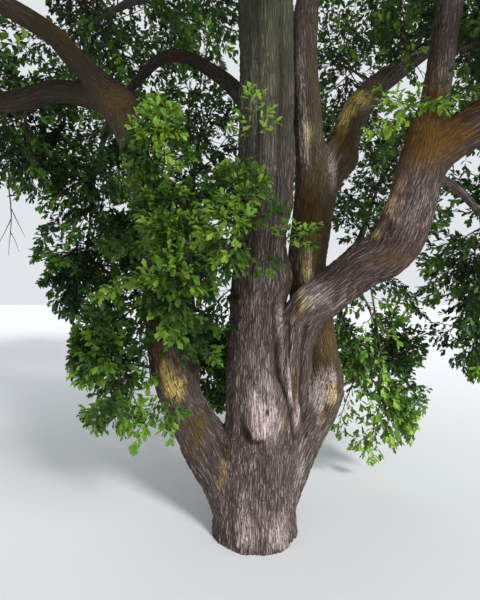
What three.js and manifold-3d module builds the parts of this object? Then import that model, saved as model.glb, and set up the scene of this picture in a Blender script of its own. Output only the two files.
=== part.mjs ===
// A downy oak that stands by itself, about 12 m tall. Its short trunk is cut flat at ground level and forks
// just above it into a leader, a left stem and a back stem. A heavy bough leaves the leader's right side and
// turns up at an elbow. Boughs go out from these on all sides, and each ends where it enters a mass of
// foliage. A mass is one stem with twigs on it and flat blades along the twigs, and each blade stands for a
// spray of leaves. Sizes are in millimetres, +Z is up, and the origin is the middle of the cut at its foot.
import * as THREE from "three";
import Module from "manifold-3d";

const wasm = await Module();
wasm.setup();

// The trunk, which widens from its foot to its fork.
const FORK_HEIGHT = 1080;
const FOOT_RADIUS = 470;
const FORK_RADIUS = 375;
const FOOT_DEPTH = 0.94;
const FLARE = 70;
const FLARE_HEIGHT = 330;
const ROOT_RIDGES = 5;
const FOOT_RINGS = 6;
const FOOT_SIDES = 18;

// The limbs, round tapering tubes along a smooth line.
const STEM_SIDES = 10;
const BOUGH_SIDES = 7;
const SLIM_RADIUS = 140;
const SLIM_SIDES = 6;
const BOUGH_TIP = 65;
const GAP = 0.3;
const BLOCK_HALF = 9000;
const BLOCK_TOP = 15000;

// The foliage.
const GOLDEN_ANGLE = Math.PI * (3 - Math.sqrt(5));
const FEWEST_TWIGS = 3;
const TWIGS_PER_METRE = 0.9;
const SIDE_STEM_RADIUS = 26;
const STEM_SHARE_OF_TIP = 0.8;
const TWIG_REACH = 0.5;
const TWIG_RADIUS = 0.025;
const SHORTEST = 160;
const SIDE_BLADES = 2;
const BLADE_WIDTH = 0.62;
const BLADE_THICKNESS = 0.035;
const LONGEST_BLADE = 1300;
const FIT = 0.88;
const CLEARANCE = 25;
const STEP = 50;

const BARK = new THREE.MeshStandardMaterial({ color: 0x75665b, roughness: 0.95, metalness: 0 });
const LEAVES = new THREE.MeshStandardMaterial({ color: 0x4f7a26, roughness: 0.7, metalness: 0 });

// The limbs that show from the road. Each is a line of [x, y, z, radius] from its root, which is inside what
// carries it, to its tip.
const STEMS = {
  leader: [
    [10, 0, 500, 380], [30, 0, 1240, 350], [20, -10, 2170, 315], [60, -100, 3150, 285],
    [110, -450, 4620, 280], [80, -650, 6200, 250], [90, -450, 7900, 180], [130, -250, 9300, 110],
  ],
  left_stem: [
    [-200, 0, 300, 280], [-560, 0, 1000, 265], [-910, -60, 1720, 210], [-1030, -100, 2480, 170],
    [-1130, -160, 3600, 150], [-1410, -400, 4630, 135],
  ],
  back_stem: [
    [250, 80, 300, 235], [540, 200, 990, 258], [780, 290, 1480, 285], [780, 340, 2000, 222],
    [650, 350, 2950, 235], [790, 440, 3960, 240],
  ],
};
const SHOWN_BOUGHS = {
  right_bough: [
    [250, -110, 800, 180], [390, -130, 1650, 195], [510, -170, 2370, 222], [1060, -360, 2910, 235],
    [1400, -480, 3180, 255], [1640, -650, 4030, 200],
  ],
  right_rising_bough: [
    [1630, -640, 3960, 160], [1740, -650, 4670, 130], [2000, -540, 5850, 110], [2500, -600, 7300, 70],
  ],
  right_outer_bough: [
    [1600, -620, 3930, 190], [2030, -850, 4230, 190], [3000, -1250, 4560, 140], [4200, -1550, 5300, 80],
  ],
  right_hanging_bough: [[1560, -560, 3780, 60], [1960, -480, 3760, 45], [2620, 100, 3560, 35]],
  left_upper_bough: [
    [-1380, -390, 4600, 118], [-1780, -640, 4960, 102], [-2060, -950, 5120, 86], [-3600, -1900, 5600, 64],
  ],
  left_lower_bough: [
    [-1380, -400, 4610, 120], [-2030, -350, 4760, 108], [-2710, -250, 4690, 105], [-4150, 100, 5000, 70],
  ],
  left_inner_bough: [
    [-780, 20, 1450, 140], [-740, 120, 1900, 100], [-800, 240, 2900, 85], [-820, 420, 3560, 70],
  ],
  left_arc_bough: [
    [90, -250, 4470, 110], [-400, 200, 5210, 85], [-1140, 700, 5720, 75], [-2050, 1400, 5330, 50],
  ],
  back_rising_bough: [
    [760, 420, 3800, 200], [660, 370, 4700, 180], [620, 330, 5900, 155], [1000, 1000, 7700, 85],
  ],
  back_right_bough: [
    [790, 440, 3860, 200], [1100, 520, 4480, 195], [1560, 780, 5300, 160], [3000, 1700, 6600, 95],
  ],
};

// The boughs that the rest of the tree hides. Each leaves its stem at a height, turned round from +X by some
// degrees, goes so far out, and rises more and more towards its tip.
const OTHER_BOUGHS = {
  back_low_bough: { on: "back_stem", leaves: 2600, turn: 60, out: 2500, rise: 950, radius: 125 },
  back_left_bough: { on: "leader", leaves: 2900, turn: 116, out: 3400, rise: 1750, radius: 140 },
  back_bough: { on: "leader", leaves: 4900, turn: 80, out: 3700, rise: 700, radius: 135 },
  front_left_bough: { on: "leader", leaves: 5450, turn: -113, out: 3200, rise: 850, radius: 125 },
  front_right_bough: { on: "leader", leaves: 5750, turn: -66, out: 3200, rise: 550, radius: 125 },
  left_top_bough: { on: "leader", leaves: 6100, turn: 140, out: 2000, rise: 350, radius: 95 },
  upper_left_bough: { on: "leader", leaves: 6800, turn: 176, out: 2300, rise: 1250, radius: 110 },
  upper_front_left_bough: { on: "leader", leaves: 7000, turn: -127, out: 2000, rise: 1100, radius: 105 },
  upper_front_bough: { on: "leader", leaves: 7250, turn: -68, out: 2000, rise: 1000, radius: 105 },
  upper_back_bough: { on: "leader", leaves: 7400, turn: 108, out: 2200, rise: 950, radius: 100 },
};
const RISE_BEND = 1.4;

// The masses that show from the road: the middle and half widths of each one's space, and the bough that
// carries it. It stands on that bough's tip, or where it says on its side, as a share of the bough's length.
const SHOWN_MASSES = {
  left_skirt: { middle: [-2250, 1200, 3650], half: [900, 900, 1700], on: "left_arc_bough" },
  left_drape: { middle: [-2850, 500, 4700], half: [720, 700, 950], on: "left_lower_bough", side: 0.55 },
  left_low: { middle: [-1480, -300, 1950], half: [500, 460, 880], on: "left_stem", side: 0.42 },
  left_front: { middle: [-740, -580, 2780], half: [560, 340, 580], on: "left_stem", side: 0.6 },
  left_middle: { middle: [-840, -480, 3420], half: [480, 420, 500], on: "left_stem", side: 0.7 },
  left_shoots: { middle: [-960, -580, 4030], half: [400, 330, 620], on: "left_stem", side: 0.8 },
  leader_shoots: { middle: [-150, -720, 3300], half: [520, 340, 700], on: "leader", side: 0.3 },
  inner_left: { middle: [-700, 750, 4600], half: [620, 650, 1150], on: "left_inner_bough" },
  left_behind: { middle: [-1300, 1500, 3250], half: [950, 700, 1400], on: "left_inner_bough", side: 0.6 },
  inner_right: { middle: [2300, 2700, 4500], half: [1450, 1250, 1450], on: "back_low_bough" },
  inner_top: { middle: [1700, 2800, 6800], half: [1350, 1200, 1400], on: "back_right_bough", side: 0.7 },
  left_top: { middle: [-2300, 1700, 6900], half: [1600, 1450, 1250], on: "left_top_bough" },
  right_inner: { middle: [2450, 700, 6250], half: [900, 700, 950], on: "back_right_bough", side: 0.6 },
  right_edge: { middle: [2300, -450, 5250], half: [620, 550, 760], on: "right_rising_bough", side: 0.4 },
  right_hanging: { middle: [2950, 700, 3050], half: [900, 800, 1650], on: "right_hanging_bough" },
  right_low: { middle: [1720, 1150, 1600], half: [820, 650, 1400], on: "back_stem", side: 0.35 },
  back_low: { middle: [-560, 1250, 1650], half: [480, 560, 840], on: "left_stem", side: 0.25 },
};

// The rest of the crown, in rings of masses round the trunk's own line. Each mass gives its turn in degrees,
// the limb that carries it and, where it doesn't stand on that limb's tip, the share of its length.
const CROWN_RINGS = [
  {
    out: 4600,
    height: 6000,
    half: [1950, 1950, 1600],
    masses: {
      left: [176, "left_lower_bough"],
      left_outer: [211, "left_upper_bough"],
      front_left: [251, "front_left_bough"],
      front_right: [292, "front_right_bough"],
      right_outer: [338, "right_outer_bough"],
      right: [24, "back_right_bough"],
      back: [78, "back_bough"],
      back_left: [124, "back_left_bough"],
    },
  },
  {
    out: 3600,
    height: 8500,
    half: [2000, 2000, 1650],
    masses: {
      upper_left: [172, "upper_left_bough"],
      upper_front_left: [232, "upper_front_left_bough"],
      upper_front: [289, "upper_front_bough"],
      upper_right: [346, "right_rising_bough"],
      upper_back_right: [48, "back_rising_bough"],
      upper_back: [110, "upper_back_bough"],
    },
  },
  {
    out: 2000,
    height: 10400,
    half: [1750, 1750, 1500],
    masses: {
      top_left: [210, "leader", 0.92],
      top_front: [300, "leader", 0.98],
      top_right: [30, "leader", 0.96],
      top_back: [120, "leader", 0.88],
    },
  },
  { out: 150, height: 11100, half: [1500, 1500, 1300], masses: { top_middle: [270, "leader"] } },
];

const vector = ([x, y, z]) => new THREE.Vector3(x, y, z);
const radians = THREE.MathUtils.degToRad;
const outward = (degrees) => vector([1, 0, 0]).applyAxisAngle(vector([0, 0, 1]), radians(degrees));

// Draws between 0 and 1, the same run of them for the same seed.
function seededDraw(seed) {
  let state = seed * 7919 + 1;
  return () => {
    state = (state * 16807) % 2147483647;
    return state / 2147483647;
  };
}

// The places along a limb's smooth line, a set number to each stretch between its given points.
function alongLimb(points, perStretch) {
  const line = new THREE.CatmullRomCurve3(points.map(vector), false, "catmullrom", 0.5);
  const stretches = points.length - 1;
  return Array.from({ length: stretches * perStretch + 1 }, (_, i) => {
    const place = i / perStretch;
    const k = Math.min(Math.floor(place), stretches - 1);
    return {
      at: line.getPoint(place / stretches),
      along: line.getTangent(place / stretches),
      radius: THREE.MathUtils.lerp(points[k][3], points[k + 1][3], place - k),
    };
  });
}

function solidFrom(corners, faces) {
  const vertProperties = new Float32Array(corners.flatMap((p) => [p.x, p.y, p.z]));
  return new wasm.Manifold(new wasm.Mesh({ numProp: 3, vertProperties, triVerts: new Uint32Array(faces) }));
}

// A closed solid from rings of the same number of points, with each end shut by a fan round its middle.
function loft(rings) {
  const sides = rings[0].length;
  const corners = rings.flat();
  const faces = [];
  for (let r = 0; r < rings.length - 1; r++)
    for (let i = 0; i < sides; i++) {
      const [a, b] = [r * sides + i, r * sides + ((i + 1) % sides)];
      faces.push(a, b, b + sides, a, b + sides, a + sides);
    }
  const last = (rings.length - 1) * sides;
  const middleOf = (ring) => ring.reduce((sum, p) => sum.add(p), vector([0, 0, 0])).divideScalar(sides);
  for (let i = 0; i < sides; i++) {
    const next = (i + 1) % sides;
    faces.push(corners.length, next, i, corners.length + 1, last + i, last + next);
  }
  return solidFrom([...corners, middleOf(rings[0]), middleOf(rings[rings.length - 1])], faces);
}

// A unit direction square to a line, on the side nearest to the one asked for, turned round the line.
function across(along, side, turn = 0) {
  return side.clone().addScaledVector(along, -side.dot(along)).normalize().applyAxisAngle(along, turn);
}

// A tapering tube along a limb's line. With swell, it stands out by that much all over, its ends too.
function tube(stations, sides, swell = 0) {
  const last = stations.length - 1;
  let side = vector([1, 0.2, 0.1]);
  return loft(
    stations.map(({ at, along, radius }, i) => {
      side = across(along, side);
      const middle = at.clone().addScaledVector(along, i === 0 ? -swell : i === last ? swell : 0);
      return Array.from({ length: sides }, (_, k) =>
        middle.clone().addScaledVector(across(along, side, (2 * Math.PI * k) / sides), radius + swell),
      );
    }),
  );
}

// The trunk's foot, a column that spreads into ridged roots at the ground.
function foot(swell = 0) {
  const rings = Array.from({ length: FOOT_RINGS }, (_, i) => {
    const height = (FORK_HEIGHT * i) / (FOOT_RINGS - 1);
    const flare = FLARE * Math.max(0, 1 - height / FLARE_HEIGHT) ** 2;
    const column = THREE.MathUtils.lerp(FOOT_RADIUS, FORK_RADIUS, (height / FORK_HEIGHT) ** 2);
    return Array.from({ length: FOOT_SIDES }, (_, k) => {
      const turn = (2 * Math.PI * k) / FOOT_SIDES;
      const radius = column + flare * (1 + 0.5 * Math.cos(ROOT_RIDGES * turn)) + swell;
      return vector([radius * Math.cos(turn), FOOT_DEPTH * radius * Math.sin(turn), height]);
    });
  });
  return loft(rings);
}

// A hidden bough's line, from the middle of the stem that carries it.
function boughLine({ on, leaves, turn, out, rise, radius }) {
  const heightOff = ({ at }) => Math.abs(at.z - leaves);
  const root = alongLimb(STEMS[on], 8).reduce((a, b) => (heightOff(b) < heightOff(a) ? b : a)).at;
  return [0, 1 / 3, 2 / 3, 1].map((share) => {
    const at = root.clone().addScaledVector(outward(turn), out * share);
    return [at.x, at.y, leaves + rise * share ** RISE_BEND, THREE.MathUtils.lerp(radius, BOUGH_TIP, share)];
  });
}

const LIMBS = { ...STEMS, ...SHOWN_BOUGHS };
for (const [name, bough] of Object.entries(OTHER_BOUGHS)) LIMBS[name] = boughLine(bough);

const MASSES = { ...SHOWN_MASSES };
for (const { out, height, half, masses } of CROWN_RINGS)
  for (const [name, [turn, on, side]] of Object.entries(masses))
    MASSES[name] = { middle: outward(turn).multiplyScalar(out).setZ(height).toArray(), half, on, side };
const SPACES = Object.values(MASSES);
const LIMB_BALLS = Object.values(LIMBS).flatMap((points) => alongLimb(points, 8));

// 1 at the surface of a mass's space, less inside it and more outside.
function depthIn({ middle, half }, point) {
  return Math.hypot(...point.toArray().map((v, i) => (v - middle[i]) / half[i]));
}

// A point is free for a mass inside its space, nearer its middle than any other mass's, and clear of limbs.
function isFree(mass, point) {
  const depth = depthIn(mass, point);
  if (depth > 1 || point.z < CLEARANCE) return false;
  if (SPACES.some((other) => other !== mass && depthIn(other, point) < 1.06 * depth)) return false;
  return LIMB_BALLS.every(({ at, radius }) => at.distanceTo(point) > radius + CLEARANCE);
}

// How far a twig or blade can grow from a point in a direction before it leaves the free space.
function room(mass, from, way) {
  let length = STEP;
  while (isFree(mass, from.clone().addScaledVector(way, length))) length += STEP;
  return length - STEP;
}

// The stem of a mass, which goes on from its bough and bows into the middle of its space and a bit past it.
function stemLine({ middle, half, on, side }) {
  const line = alongLimb(LIMBS[on], 8);
  const { at, along, radius } = line[Math.round((side ?? 1) * (line.length - 1))];
  const thick = side ? SIDE_STEM_RADIUS : STEM_SHARE_OF_TIP * radius;
  const reach = at.distanceTo(vector(middle));
  const bend = at.clone().lerp(vector(middle), 0.55).addScaledVector(along, side ? 0 : 0.12 * reach);
  const end = at.clone().lerp(vector(middle), 1 + (0.5 * Math.min(...half)) / reach);
  return [
    [...at.toArray(), thick],
    [...bend.toArray(), 0.7 * thick],
    [...end.toArray(), 0.3 * thick],
  ];
}

// The twigs of a mass and the blades on them, by one rule that runs from the mass's own seed. Twigs leave the
// stem a golden angle apart and lean forward more towards its end. Blades leave each twig the same way.
function growMass(mass, seed) {
  const draw = seededDraw(seed);
  const up = vector([0.1, 0.2, 1]);
  const inside = alongLimb(stemLine(mass), 12).filter(({ at }) => depthIn(mass, at) < 0.8);
  const size = Math.cbrt(mass.half.reduce((a, b) => a * b)) / 1000;
  const count = Math.round(FEWEST_TWIGS + TWIGS_PER_METRE * size);
  const twigs = [];
  const blades = [];
  for (let i = 0; i < count; i++) {
    const share = (i + 0.5) / count;
    const { at, along, radius } = inside[Math.round(share * (inside.length - 1))];
    const lean = THREE.MathUtils.lerp(2, 0, share) + 0.2 * (draw() - 0.5);
    const way = across(along, up, i * GOLDEN_ANGLE + 0.8 * draw())
      .multiplyScalar(Math.sin(lean))
      .addScaledVector(along, Math.cos(lean));
    const length = TWIG_REACH * room(mass, at, way) * (0.9 + 0.2 * draw());
    if (length < SHORTEST) continue;
    twigs.push({ at, way, length, radius: Math.min(0.8 * radius, TWIG_RADIUS * length) });
    for (let k = 0; k <= SIDE_BLADES; k++) {
      const last = k === SIDE_BLADES;
      const fork = last ? 0.1 * draw() : 0.7 + 0.4 * draw();
      const out = across(way, up, Math.PI * (k + 0.4 * draw()))
        .multiplyScalar(Math.sin(fork))
        .addScaledVector(way, Math.cos(fork));
      const root = at.clone().addScaledVector(way, length * (last ? 0.8 : 0.35 + 0.3 * k));
      const face = across(out, up, 2 * (draw() - 0.5));
      let span = Math.min(room(mass, root, out), LONGEST_BLADE);
      const fits = () => bladeCorners(root, out, span, face).slice(1).every((corner) => isFree(mass, corner));
      while (span > SHORTEST && !fits()) span *= FIT;
      if (span > SHORTEST) blades.push(bladeCorners(root, out, span, face));
    }
  }
  return { twigs, blades };
}

// A twig is a slender three-sided spike with its root in the middle of its stem.
function twigSolid({ at, way, length, radius }) {
  const up = vector([0, 0.2, 1]);
  const third = (2 * Math.PI) / 3;
  const ring = [0, third, 2 * third].map((turn) => at.clone().addScaledVector(across(way, up, turn), radius));
  const tip = at.clone().addScaledVector(way, length);
  return solidFrom([...ring, tip], [0, 2, 1, 0, 1, 3, 1, 2, 3, 2, 0, 3]);
}

// A blade's root, tip, crest above, side, crest below and other side, in that order.
function bladeCorners(root, out, span, up) {
  const belly = root.clone().addScaledVector(out, 0.55 * span);
  const side = vector([0, 0, 0]).crossVectors(out, up);
  const [wide, thick] = [0.5 * BLADE_WIDTH * span, 0.5 * BLADE_THICKNESS * span];
  return [
    root.clone(),
    root.clone().addScaledVector(out, span),
    belly.clone().addScaledVector(up, thick),
    belly.clone().addScaledVector(side, wide),
    belly.clone().addScaledVector(up, -thick),
    belly.clone().addScaledVector(side, -wide),
  ];
}

function bladeSolid(corners) {
  const faces = [2, 3, 4, 5].flatMap((a, i, ring) => {
    const b = ring[(i + 1) % 4];
    return [0, b, a, 1, a, b];
  });
  return solidFrom(corners, faces);
}

// A square block wider than the tree, between two heights.
function block(low, high) {
  const square = [[-1, -1], [1, -1], [1, 1], [-1, 1]];
  return loft([low, high].map((z) => square.map(([x, y]) => vector([BLOCK_HALF * x, BLOCK_HALF * y, z]))));
}

const joined = (solids) => solids.reduce((a, b) => a.add(b));
const biggestOf = (solid) => solid.decompose().reduce((a, b) => (b.volume() > a.volume() ? b : a));

function limbTube(name, swell) {
  const sides = name in STEMS ? STEM_SIDES : LIMBS[name][0][3] > SLIM_RADIUS ? BOUGH_SIDES : SLIM_SIDES;
  return tube(alongLimb(LIMBS[name], 2), sides, swell);
}

// The trunk is the foot and all that grows in it below the fork. Each stem starts just above that cut, and
// each limb just off the surface of those before it.
const solids = new Map();
const forked = [...Object.keys(STEMS), "right_bough"];
const trunk = joined([foot(), ...forked.map((name) => limbTube(name))]).intersect(block(0, FORK_HEIGHT));
solids.set("trunk", biggestOf(trunk));
const aboveFork = block(FORK_HEIGHT + GAP, BLOCK_TOP);
const swollen = [];
for (const name of Object.keys(LIMBS)) {
  const whole = forked.includes(name) ? limbTube(name).intersect(aboveFork) : limbTube(name);
  solids.set(name, biggestOf(swollen.reduce((solid, earlier) => solid.subtract(earlier), whole)));
  swollen.push(limbTube(name, GAP));
}
swollen.push(foot(GAP));

// Each mass is its stem, twigs and blades joined in one, cut just clear of the limbs.
function boxesMeet(a, b) {
  const [p, q] = [a.boundingBox(), b.boundingBox()];
  return [0, 1, 2].every((i) => p.min[i] < q.max[i] && q.min[i] < p.max[i]);
}
Object.entries(MASSES).forEach(([name, mass], i) => {
  const { twigs, blades } = growMass(mass, i + 1);
  const stem = tube(alongLimb(stemLine(mass), 2), 3);
  const whole = joined([stem, ...twigs.map(twigSolid), ...blades.map(bladeSolid)]);
  const near = swollen.filter((limb) => boxesMeet(limb, whole));
  solids.set(name + "_foliage", biggestOf(near.reduce((solid, limb) => solid.subtract(limb), whole)));
});

function meshOf(name, solid) {
  const { vertProperties, triVerts } = solid.getMesh();
  const geometry = new THREE.BufferGeometry()
    .setAttribute("position", new THREE.BufferAttribute(vertProperties, 3))
    .setIndex(new THREE.BufferAttribute(triVerts, 1));
  geometry.computeVertexNormals();
  const mesh = new THREE.Mesh(geometry, name.endsWith("_foliage") ? LEAVES : BARK);
  mesh.name = name;
  return mesh;
}

const oak = new THREE.Group();
for (const [name, solid] of solids) oak.add(meshOf(name, solid));
export default oak;
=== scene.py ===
import itertools
import math
import bpy
import numpy as np
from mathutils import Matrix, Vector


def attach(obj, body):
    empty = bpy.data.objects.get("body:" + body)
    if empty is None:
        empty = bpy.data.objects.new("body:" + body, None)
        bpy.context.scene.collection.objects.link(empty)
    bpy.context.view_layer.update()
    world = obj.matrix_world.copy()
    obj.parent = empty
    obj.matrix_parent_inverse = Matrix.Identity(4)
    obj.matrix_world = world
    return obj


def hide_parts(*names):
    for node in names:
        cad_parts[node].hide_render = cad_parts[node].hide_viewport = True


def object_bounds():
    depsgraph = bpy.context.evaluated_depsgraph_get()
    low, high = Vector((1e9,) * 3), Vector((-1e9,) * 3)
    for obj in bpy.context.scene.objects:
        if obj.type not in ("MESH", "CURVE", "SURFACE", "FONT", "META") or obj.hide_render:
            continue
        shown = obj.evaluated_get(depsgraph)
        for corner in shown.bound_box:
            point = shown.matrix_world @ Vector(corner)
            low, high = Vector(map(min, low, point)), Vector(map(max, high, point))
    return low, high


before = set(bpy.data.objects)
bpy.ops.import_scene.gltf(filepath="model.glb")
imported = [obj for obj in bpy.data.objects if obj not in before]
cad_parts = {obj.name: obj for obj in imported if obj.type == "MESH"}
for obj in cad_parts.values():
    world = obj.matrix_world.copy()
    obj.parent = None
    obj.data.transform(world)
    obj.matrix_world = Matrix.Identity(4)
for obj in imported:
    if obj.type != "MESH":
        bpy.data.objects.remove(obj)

cad_box = [list(corner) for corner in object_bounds()]

# Trunk, stems and boughs
# The living wood of a downy oak, grown in one piece from the flat cut at the ground up to where each bough
# thins out into twigs. Each limb runs through these places, in millimetres, with its radius there.
STEMS = {
    "leader": [
        [10, 0, 500, 380], [30, 0, 1240, 350], [20, -10, 2170, 315], [60, -100, 3150, 285],
        [110, -450, 4620, 280], [80, -650, 6200, 250], [90, -450, 7900, 180], [130, -250, 9300, 110],
    ],
    "left_stem": [
        [-200, 0, 300, 280], [-560, 0, 1000, 265], [-910, -60, 1720, 210], [-1030, -100, 2480, 170],
        [-1130, -160, 3600, 150], [-1410, -400, 4630, 135],
    ],
    "back_stem": [
        [250, 80, 300, 235], [540, 200, 990, 258], [780, 290, 1480, 285], [780, 340, 2000, 222],
        [650, 350, 2950, 235], [790, 440, 3960, 240],
    ],
}
BOUGHS = {
    "right_bough": [
        [250, -110, 800, 180], [390, -130, 1650, 195], [510, -170, 2370, 222], [1060, -360, 2910, 235],
        [1400, -480, 3180, 255], [1640, -650, 4030, 200],
    ],
    "right_rising_bough": [
        [1630, -640, 3960, 160], [1740, -650, 4670, 130], [2000, -540, 5850, 110], [2500, -600, 7300, 70],
    ],
    "right_outer_bough": [
        [1600, -620, 3930, 190], [2030, -850, 4230, 190], [3000, -1250, 4560, 140], [4200, -1550, 5300, 80],
    ],
    "right_hanging_bough": [[1560, -560, 3780, 60], [1960, -480, 3760, 45], [2620, 100, 3560, 35]],
    "left_upper_bough": [
        [-1380, -390, 4600, 118], [-1780, -640, 4960, 102], [-2060, -950, 5120, 86], [-3600, -1900, 5600, 64],
    ],
    "left_lower_bough": [
        [-1380, -400, 4610, 120], [-2030, -350, 4760, 108], [-2710, -250, 4690, 105], [-4150, 100, 5000, 70],
    ],
    "left_inner_bough": [
        [-780, 20, 1450, 140], [-740, 120, 1900, 100], [-800, 240, 2900, 85], [-820, 420, 3560, 70],
    ],
    "left_arc_bough": [
        [90, -250, 4470, 110], [-400, 200, 5210, 85], [-1140, 700, 5720, 75], [-2050, 1400, 5330, 50],
    ],
    "back_rising_bough": [
        [760, 420, 3800, 200], [660, 370, 4700, 180], [620, 330, 5900, 155], [1000, 1000, 7700, 85],
    ],
    "back_right_bough": [
        [790, 440, 3860, 200], [1100, 520, 4480, 195], [1560, 780, 5300, 160], [3000, 1700, 6600, 95],
    ],
}
# Boughs on the hidden sides: the stem each is on, the height it leaves at, its turn in degrees from +X, and
# how far out it goes, how much it rises and how thick it is there.
HIDDEN_BOUGHS = {
    "back_low_bough": ["back_stem", 2600, 60, 2500, 950, 125],
    "back_left_bough": ["leader", 2900, 116, 3400, 1750, 140],
    "back_bough": ["leader", 4900, 80, 3700, 700, 135],
    "front_left_bough": ["leader", 5450, -113, 3200, 850, 125],
    "front_right_bough": ["leader", 5750, -66, 3200, 550, 125],
    "left_top_bough": ["leader", 6100, 140, 2000, 350, 95],
    "upper_left_bough": ["leader", 6800, 176, 2300, 1250, 110],
    "upper_front_left_bough": ["leader", 7000, -127, 2000, 1100, 105],
    "upper_front_bough": ["leader", 7250, -68, 2000, 1000, 105],
    "upper_back_bough": ["leader", 7400, 108, 2200, 950, 100],
}
# A hidden bough rises more towards its tip, and ends at this radius.
RISE_BEND = 1.4
BOUGH_TIP = 0.065
# Where each stem stands in the foot, in metres, just below the cut.
FEET_OF_STEMS = {
    "leader": [0, 0, -0.1, 0.38],
    "left_stem": [-0.12, 0, -0.1, 0.34],
    "back_stem": [0.18, 0.06, -0.1, 0.275],
}
# The foot is a column, a little flatter than round, that spreads at the ground and shrinks above the fork.
FORK_HEIGHT = 1.08
FOOT_RADIUS = 0.455
FORK_RADIUS = 0.375
FOOT_DEPTH = 0.94
FLARE = 0.01
FLARE_HEIGHT = 0.25
ROOT_RIDGES = 5
RIDGE_SHARE = 0.5
FORK_FADE = 0.5
# Limbs run into each other with a fillet that grows from the foot's up to the crotches', over this height.
FOOT_FILLET = 0.014
CROTCH_FILLET = 0.035
FILLET_GROWTH = 0.6
# Points this far outside the box round a limb's line aren't drawn to it, and deeper ones count as this deep.
NEAR_LIMB = 0.45
DEEPEST = -0.25
# Stations to each stretch of a limb, on a line that others stand on or keep clear of, and on the bark's line.
LINE_STEPS = 8
FRAME_STEPS = 6
FIRST_SIDE = np.array([1, 0.2, 0.1])
TINY = 1e-9
# Limbs that meet are in different groups, so that each group's bark coordinates run on smoothly.
GRAIN_GROUPS = {
    0: ["leader", "right_rising_bough", "right_hanging_bough", "left_upper_bough", "left_inner_bough",
        "back_rising_bough"],
    1: ["left_stem", "back_stem", "right_outer_bough", "left_arc_bough", "back_left_bough", "back_bough",
        "front_left_bough", "left_top_bough", "upper_left_bough", "upper_front_bough"],
    2: ["right_bough", "left_lower_bough", "back_right_bough", "back_low_bough", "front_right_bough",
        "upper_front_left_bough", "upper_back_bough"],
}


def unit(ways):
    return ways / np.maximum(np.linalg.norm(ways, axis=-1, keepdims=True), TINY)


def between(a, b, share):
    return a + (b - a) * share


def smooth_step(low, high, value):
    share = np.clip((value - low) / (high - low), 0, 1)
    return share * share * (3 - 2 * share)


def across(along, side, turn=0.0):
    """Directions square to a line, on the side nearest to the one asked for, turned round the line."""
    side = unit(side - (side * along).sum(-1, keepdims=True) * along)
    turn = np.asarray(turn)[..., None]
    return side * np.cos(turn) + np.cross(along, side) * np.sin(turn)


def outward(degrees):
    return np.array([math.cos(math.radians(degrees)), math.sin(math.radians(degrees)), 0.0])


def along_limb(points, per_stretch):
    """Places, directions and radii along a smooth line, a set number to each stretch between its points."""
    points = np.asarray(points, float)
    stretches = len(points) - 1
    ends = np.vstack([2 * points[0] - points[1], points, 2 * points[-1] - points[-2]])[:, :3]
    place = np.arange(stretches * per_stretch + 1) / per_stretch
    k = np.minimum(place.astype(int), stretches - 1)
    t = (place - k)[:, None]
    before, start, end, after = (ends[k + i] for i in range(4))
    leave, arrive = 0.5 * (end - before), 0.5 * (after - start)
    square = 3 * (end - start) - 2 * leave - arrive
    cube = 2 * (start - end) + leave + arrive
    at = start + leave * t + square * t**2 + cube * t**3
    along = unit(leave + 2 * square * t + 3 * cube * t**2)
    return at, along, between(points[k, 3], points[k + 1, 3], t[:, 0])


def hidden_bough(on, leaves, turn, out, rise, radius):
    """The line of a bough from the middle of the stem that carries it."""
    line = along_limb(LIMBS[on], LINE_STEPS)[0]
    root = line[np.argmin(abs(line[:, 2] - leaves / 1000))]
    points = []
    for share in (0, 1 / 3, 2 / 3, 1):
        x, y, _ = root + outward(turn) * out / 1000 * share
        height = (leaves + rise * share**RISE_BEND) / 1000
        points.append([x, y, height, between(radius / 1000, BOUGH_TIP, share)])
    return np.array(points)


LIMBS = {name: np.array(points) / 1000 for name, points in (STEMS | BOUGHS).items()}
for name, bough in HIDDEN_BOUGHS.items():
    LIMBS[name] = hidden_bough(*bough)


def limb_frame(name):
    """A limb's stations with the length run so far and a side direction carried along without twist."""
    points = LIMBS[name]
    if name in FEET_OF_STEMS:
        points = np.vstack([FEET_OF_STEMS[name], points])
    at, along, radius = along_limb(points, FRAME_STEPS)
    run = np.concatenate([[0], np.linalg.norm(np.diff(at, axis=0), axis=1).cumsum()])
    sides = [across(along[0], FIRST_SIDE)]
    for way in along[1:]:
        sides.append(across(way, sides[-1]))
    group = next(g for g, names in GRAIN_GROUPS.items() if name in names)
    return {"name": name, "at": at, "along": along, "radius": radius, "run": run, "side": np.array(sides),
            "group": group}


limb_frames = [limb_frame(name) for name in LIMBS]


def beside_limb(limb, points):
    """How far each point is off a limb's surface, the way out from its line, and its place in the limb."""
    at, radius = limb["at"], limb["radius"]
    nearest = np.full(len(points), np.inf)
    stretch = np.zeros(len(points), int)
    share = np.zeros(len(points))
    for k in range(len(at) - 1):
        step = at[k + 1] - at[k]
        t = np.clip((points - at[k]) @ step / (step @ step), 0, 1)
        off = points - at[k] - t[:, None] * step
        far = np.sqrt((off**2).sum(1)) - between(radius[k], radius[k + 1], t)
        near = far < nearest
        nearest[near], stretch[near], share[near] = far[near], k, t[near]

    def here(key, part):
        return between(limb[key][stretch], limb[key][stretch + 1], part)

    off = points - here("at", share[:, None])
    along = unit(here("along", share[:, None]))
    side = across(along, here("side", share[:, None]))
    grain = np.stack([(off * side).sum(1), (off * np.cross(along, side)).sum(1), here("run", share)], axis=1)
    return nearest, unit(off), grain, here("radius", share)


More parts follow.
